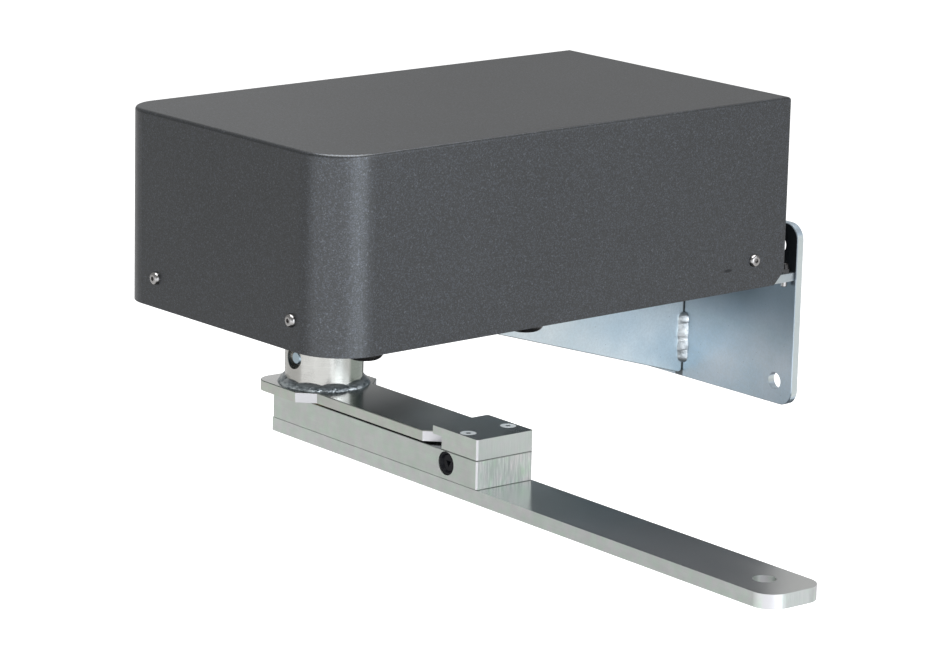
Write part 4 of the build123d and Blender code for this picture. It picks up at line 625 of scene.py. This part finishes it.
# a painted highlight band and a green painted reflection on the hub
green_painted_reflection, painted_highlight_band = hub_side(35.0, 0.7, 0.86), hub_side(-9.0, 0.965, 0.992)
hub_tone = hub_zinc.mix(painted_highlight_band * 0.9, hub_zinc.tone, (0.53, 0.54, 0.515))
hub_tone = hub_zinc.mix(0.95 * green_painted_reflection * (1.0 - painted_highlight_band), hub_tone, (0.27, 0.305, 0.27))
hub_zinc.feed(Base_Color=hub_tone)
dress(hub_zinc, "hub_tube")

# %% [markdown]
# ## Countersunk screws of the arm
# These screws are duller than the others. The two on the end block stand with their heads up,
# and each head's recess is darkened with painted shade: all that lies a little below the head's
# face.

# %% Countersunk screws
countersunk_zinc = turned_steel("countersunk_zinc", (0.74, 0.8, 0.82), 0.4, no_rings, ring=0.8)
dress(countersunk_zinc, "arm_rear_screws")
block_screw_zinc = turned_steel("block_screw_zinc", (0.74, 0.79, 0.81), 0.47, no_rings, ring=0.8)
screw_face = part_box("block_screws")[1].z
# painted shade in the recess of each head
recess_shade = 1.0 - block_screw_zinc.along(2).between(screw_face - 0.4 * mm, screw_face - 0.1 * mm)
screw_tone = block_screw_zinc.mix(recess_shade * 0.85, block_screw_zinc.tone, (0.12, 0.14, 0.15))
block_screw_zinc.feed(Base_Color=screw_tone)
dress(block_screw_zinc, "block_screws")

# %% [markdown]
# ## Black oxide, castings and bronze
# The bolts under the shelf are blackened and polished by the wrench. The gear case is cast
# aluminium with a sandy skin, and the bushes and the worm wheel are bronze. Each gets the
# grain its making leaves: specks for the oxide, pebbles for the casting, lathe rings for bronze.

# %% Black screws, cast aluminium, bronze
oxide = Finish("black_oxide", (0.022, 0.021, 0.021), metal=0.6, roughness=0.24)
oxide_wear = oxide.noise(2.2, 3.0).between(0.5, 0.8)
oxide.feed(
    Base_Color=oxide.mix(oxide_wear * 0.4, (0.02, 0.019, 0.019), (0.08, 0.075, 0.07)),
    Roughness=0.2 + 0.16 * oxide_wear,
)
oxide.bump(oxide.noise(0.8, 2.0), 0.01)
dress(oxide, "base_bolts", "lid_screws", "motor_flange_screws", "end_bell_screws")
dress(oxide, "pivot_screw", "corner_nuts")

casting = Finish("cast_aluminium", (0.5, 0.51, 0.52), metal=0.85, roughness=0.5)
pebbles = casting.noise(1.4, 4.0, rough=0.65)
casting_tone = casting.noise(22.0, 2.0)
casting.feed(
    Base_Color=casting.mix(casting_tone * pebbles, (0.56, 0.57, 0.58), (0.34, 0.35, 0.36)),
    Roughness=0.42 + 0.25 * pebbles,
)
casting.bump(pebbles, 0.09)
dress(casting, "gear_case", "gear_case_lid", "motor_flange", "motor_end_bell")

bronze = turned_steel("turned_bronze", (0.62, 0.4, 0.18), 0.26, around_z, 0.5)
dress(bronze, "lower_bush", "upper_bush", "pivot_bush", "thrust_washer", "worm_wheel")
brass = turned_steel("standoff_brass", (0.72, 0.55, 0.24), 0.24, around_z, 0.4)
dress(brass, "board_standoffs")

# %% [markdown]
# ## Motor
# The pieces under the cover don't show in the picture, but the part can be opened and turned, so
# they get real finishes too: dark paint on the motor tube, thin sheets in the stator and the
# rotor, wound copper, and rubber on the shaft's seal. Stretched noise makes sheets and strands.

# %% Motor finishes
motor_paint = Finish("motor_paint", (0.03, 0.032, 0.035), roughness=0.35)
motor_skin = motor_paint.noise(1.6, 3.0)
motor_paint.feed(
    Base_Color=motor_paint.mix(motor_skin, (0.024, 0.026, 0.029), (0.045, 0.047, 0.05)),
    Roughness=0.28 + 0.2 * motor_skin,
)
motor_paint.bump(motor_skin, 0.05)
dress(motor_paint, "motor_housing")

sheets = Finish("stacked_sheets", (0.3, 0.31, 0.32), metal=0.9, roughness=0.4)
sheet_edge = sheets.noise(0.5, 1.0, (200.0, 1.0, 200.0))
sheets.feed(
    Base_Color=sheets.mix(sheet_edge.between(0.4, 0.6), (0.14, 0.145, 0.15), (0.4, 0.41, 0.42)),
    Roughness=0.32 + 0.2 * sheet_edge,
)
sheets.bump(sheet_edge, 0.05)
dress(sheets, "stator_core", "rotor_core")

copper = Finish("wound_copper", (0.62, 0.24, 0.09), metal=0.9, roughness=0.3, Coat_Weight=0.4)
strands = copper.noise(0.9, 1.0, (1.0, 30.0, 1.0))
copper.feed(
    Base_Color=copper.mix(strands.between(0.35, 0.65), (0.3, 0.09, 0.03), (0.74, 0.32, 0.13)),
    Roughness=0.24 + 0.2 * strands,
)
copper.bump(strands, 0.3)
dress(copper, "stator_windings")

rubber = Finish("seal_rubber", (0.018, 0.018, 0.018), roughness=0.6)
bloom = rubber.noise(3.0, 3.0)
rubber.feed(
    Base_Color=rubber.mix(bloom, (0.014, 0.014, 0.014), (0.04, 0.04, 0.042)),
    Roughness=0.5 + 0.2 * bloom,
)
rubber.bump(bloom, 0.03)
dress(rubber, "shaft_seal")

# %% [markdown]
# ## Board and electrical pieces
# The relays, terminals, switches, gland and capacitor are moulded plastic, which differs mostly
# in colour and gloss, so one function makes them all. The transformer is wrapped in tape, and
# the printed board has its tracks and solder joints from two scales of Voronoi cells.


# %% Board finishes
def moulded(name, colour, roughness):
    """Moulded plastic: a fine spark-eroded skin and slightly uneven gloss."""
    plastic = Finish(name, colour, roughness=roughness, Specular_IOR_Level=0.5)
    skin = plastic.noise(0.6, 2.0)
    flow = plastic.noise(14.0, 2.0)
    plastic.feed(
        Base_Color=plastic.mix(flow, shade(colour, 0.88), shade(colour, 1.08)),
        Roughness=roughness - 0.05 + 0.1 * skin + 0.05 * flow,
    )
    plastic.bump(skin, 0.02)
    return plastic


dress(moulded("relay_plastic", (0.03, 0.12, 0.36), 0.3), "board_relays")
dress(moulded("terminal_plastic", (0.05, 0.3, 0.12), 0.42), "terminal_block")
dress(moulded("switch_plastic", (0.02, 0.02, 0.022), 0.35), "limit_switches")
dress(moulded("gland_plastic", (0.022, 0.022, 0.024), 0.4), "cable_gland", "gland_nut")
dress(moulded("capacitor_plastic", (0.68, 0.69, 0.69), 0.36), "capacitor")

tape = Finish("transformer_tape", (0.72, 0.55, 0.06), roughness=0.34)
wraps = tape.noise(2.4, 1.0, (40.0, 40.0, 1.0))
tape.feed(
    Base_Color=tape.mix(wraps.between(0.4, 0.6), (0.6, 0.43, 0.04), (0.8, 0.63, 0.1)),
    Roughness=0.25 + 0.2 * wraps,
)
tape.bump(wraps, 0.08)
dress(tape, "mains_transformer")

board = Finish("printed_board", (0.01, 0.14, 0.06), roughness=0.3, Coat_Weight=0.5)
tracks = board.cells(4.0, stretch=(1.0, 1.0, 50.0)).between(0.38, 0.46)
joints = 1.0 - board.cells(2.54, stretch=(1.0, 1.0, 50.0)).between(0.16, 0.22)
board_tone = board.mix(tracks, (0.008, 0.1, 0.042), (0.02, 0.2, 0.09))
board_tone = board.mix(joints, board_tone, (0.6, 0.6, 0.58))
board.feed(Base_Color=board_tone, Metallic=joints, Roughness=0.25 + 0.15 * tracks)
board.bump(tracks + joints, 0.04)
dress(board, "control_board")

# %% [markdown]
# ## Weld beads
# A weld is a row of overlapping puddles, each pushed out a little and frozen. One round blob is
# made. Copies of it, each with its own mesh, are squashed in edit mode and laid along the seam
# with small seeded changes of size, and a Remesh modifier melts them together. Sculpting or a
# displaced tube would be the other ways, but the blobs give the scalloped edge of a real bead.

# %% One puddle of weld and a bead laid from it
bead_voxel = 0.4 * mm
cleared()
bpy.ops.mesh.primitive_uv_sphere_add(segments=20, ring_count=12, radius=1.0)
round_blob = bpy.context.object


def puddle(place, along, out, size):
    """A squashed copy of the blob: size is its half length along the seam, width and height."""
    cleared()
    blob = round_blob.copy()
    blob.data = round_blob.data.copy()
    bpy.context.collection.objects.link(blob)
    bpy.context.view_layer.objects.active = blob
    blob.select_set(True)
    bpy.ops.object.mode_set(mode="EDIT")
    bpy.ops.mesh.select_all(action="SELECT")
    bpy.ops.transform.resize(value=size)
    bpy.ops.object.mode_set(mode="OBJECT")
    across = out.cross(along).normalized()
    turn = (along.normalized(), across, out.normalized())
    for corner in blob.data.vertices:
        corner.co = place + sum((turn[i] * corner.co[i] for i in range(3)), Vector())
    return blob


def melted(name, blobs, smoothings):
    """Join the puddles and melt them into one closed skin."""
    cleared()
    for blob in blobs:
        blob.select_set(True)
    bpy.context.view_layer.objects.active = blobs[0]
    bpy.ops.object.join()
    bead = bpy.context.object
    bead.name = name
    bead.data.name = name
    melt = bead.modifiers.new("melt", "REMESH")
    melt.mode = "VOXEL"
    melt.voxel_size = bead_voxel
    relax = bead.modifiers.new("relax", "SMOOTH")
    relax.factor = 0.5
    relax.iterations = smoothings
    for modifier in ("melt", "relax"):
        bpy.ops.object.modifier_apply(modifier=modifier)
    bpy.ops.object.shade_smooth()
    print(name, "faces:", len(bead.data.polygons))
    return bead


# %% [markdown]
# ## Bead round the hub
# The lever is welded to the hub tube all round. The photograph shows long dark puddles with
# bright rims and a notch every 15 mm or so, where the welder stopped and moved on. Each run
# swells in its middle and dips at the notch, and a seeded choice makes every one a little different.

# %% Bead round the hub
weld_luck = Random(7)
whole_turn, shortest_run, puddles_in_run = 2 * pi, 0.2, 11
bead_reach, bead_height = hub_radius + 1.4 * mm, Vector((0, 0, lever_top + 0.6 * mm))
outward_lean = Vector((0.0, 0.0, 0.8))
hub_puddles = []
angle = 0.0
while angle < whole_turn - shortest_run:
    step = min(weld_luck.uniform(0.5, 0.68), whole_turn - angle)
    run_width, run_rise = weld_luck.uniform(4.2, 5.1), weld_luck.uniform(2.1, 2.5)
    for number in range(puddles_in_run):
        along = (number + 0.5) / puddles_in_run
        swell = 0.52 + 0.48 * sin(pi * along) ** 0.6
        turn_by = angle + along * step
        outward = Vector((cos(turn_by), sin(turn_by), 0.0))
        seam_way = Vector((-sin(turn_by), cos(turn_by), 0.0))
        lean = (outward + outward_lean).normalized()
        spot = shaft_line + outward * bead_reach + bead_height
        size = (2.2 * mm, run_width * swell * mm, run_rise * swell * mm)
        hub_puddles.append(puddle(spot, seam_way, lean, size))
    angle += step
hub_bead = melted("hub_weld_bead", hub_puddles, smoothings=3)

# %% [markdown]
# ## Beads of the bracket
# The gusset is stitched to the wall plate by one thick, restless bead on each side and to the
# shelf by two short ones. They are laid with the same puddles, shorter and more uneven.


# %% Beads of the bracket
puddle_step, plate_bead, shelf_bead = 1.2 * mm, 24.0 * mm, 25.0 * mm
plate_inset, shelf_inset = 3.0, 2.5


def stitch(start, end, lean, half_width, luck):
    """Puddles along a straight seam from start to end, half_width millimetres to each side."""
    way = (end - start).normalized()
    length = (end - start).length
    spots = int(length / puddle_step)
    sway, swell = luck.uniform(0.0, 6.0), luck.uniform(0.0, 6.0)
    found = []
    for spot in range(spots + 1):
        shift = 0.1 * sin(0.9 * spot + sway) + luck.uniform(-0.05, 0.05)
        across = lean.cross(way) * shift * half_width * mm
        at = start + way * (length * spot / spots) + lean * 0.16 * half_width * mm + across
        width = half_width * (0.96 + 0.07 * sin(1.3 * spot + swell) + luck.uniform(-0.02, 0.02)) * mm
        rise = half_width * (0.52 + 0.06 * sin(0.8 * spot + sway + swell)) * mm
        found.append(puddle(at, way, lean, (0.8 * width, width, rise)))
    return found


seam_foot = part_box("bracket_welds")[0].z
stitch_luck = Random(21)
bracket_puddles = []
for side in (-1.0, 1.0):
    corner = Vector((side * gusset_half, plate_face, seam_foot))
    lean = Vector((side, -1.0, 0.0)).normalized()
    start = corner + Vector((0, 0, plate_inset * mm))
    bracket_puddles += stitch(start, start + Vector((0, 0, plate_bead)), lean, 5.7, stitch_luck)
    lean = Vector((side, 0.0, -1.0)).normalized()
    for seam_start in (-40.0, -110.0):
        start = Vector((side * gusset_half, (seam_start + shelf_inset) * mm, shelf_underside))
        bracket_puddles += stitch(start, start + Vector((0, -shelf_bead, 0)), lean, 2.6, stitch_luck)
bracket_beads = melted("bracket_weld_beads", bracket_puddles, smoothings=12)
bpy.data.objects.remove(round_blob)

# %% [markdown]
# ## Skin of the welds
# Zinc settles on a weld as it does on the plate, but the ripples catch the light, so the bead
# looks brighter and darker by turns: a slow noise between two tones paints that light, and a
# strong small bump adds to it. The hub's bead also has a painted highlight along its rim where
# it runs up the tube, and lighter speckles on its left.


# %% Weld finish
def weld_skin(name, bright, dark, ripple_size, depth, roughness, rim=None):
    """Zinc over frozen puddles. rim is the two heights where the upper rim gets a painted highlight."""
    weld = Finish(name, bright, metal=1.0, roughness=0.25)
    ripples = weld.noise(ripple_size, 3.0, rough=0.6)
    light_patches = weld.noise(ripple_size * 3.0, 2.0)
    # painted light: a slow noise turns the bead brighter and darker by turns
    tone = weld.mix(light_patches.between(0.35, 0.65), bright, dark)
    if rim:
        height = weld.along(2) + (light_patches - 0.5) * 2.0 * mm
        left_speckles = (1.0 - weld.along(0).between(-20.0 * mm, -5.0 * mm)) * ripples.between(0.4, 0.6)
        # painted highlight along the upper rim
        tone = weld.mix(height.between(*rim) * 0.9, tone, (0.9, 0.93, 0.94))
        # lighter speckles on the left of the bead
        tone = weld.mix(left_speckles * 0.7, tone, (0.85, 0.87, 0.87))
    weld.feed(Base_Color=tone, Roughness=roughness + 0.2 * ripples)
    weld.bump(ripples, depth)
    return weld


def settle(piece, finish, body, slot, *stands_for):
    """Last steps of a new piece: its finish, the body that it rides on and what it stands for."""
    piece.data.materials.clear()
    piece.data.materials.append(finish.material)
    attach(piece, body)
    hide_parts(*stands_for)
    print(piece.name, "rides on", body, "and stands for", *stands_for)


hub_skin = weld_skin(
    "hub_weld_skin", bright=(0.74, 0.8, 0.82), dark=(0.27, 0.31, 0.33), ripple_size=1.4, depth=0.55,
    roughness=0.26, rim=(lever_top + 1.9 * mm, lever_top + 2.9 * mm),
)
bracket_skin = weld_skin(
    "bracket_weld_skin", bright=(0.88, 0.92, 0.94), dark=(0.62, 0.67, 0.7), ripple_size=1.7, depth=0.4,
    roughness=0.34,
)
settle(hub_bead, hub_skin, "output", "weld", "hub_weld")
settle(bracket_beads, bracket_skin, "base", "weld", "bracket_welds")

# %% [markdown]
# ## Black barrel of the release lock
# The round hole in the bar's side is filled by a glossy black barrel, so its finish is nearly
# smooth, with faint smears. A low specular level keeps the white floor out of the black.

# %% Release barrel finish
gloss_black = Finish("release_gloss", (0.006, 0.006, 0.007), roughness=0.2, Specular_IOR_Level=0.1)
smears = gloss_black.noise(3.5, 3.0)
gloss_black.feed(
    Base_Color=gloss_black.mix(smears, (0.004, 0.004, 0.005), (0.01, 0.01, 0.012)),
    Roughness=0.14 + 0.12 * smears,
)
gloss_black.bump(gloss_black.noise(0.7, 2.0), 0.004)
dress(gloss_black, "release_barrel")
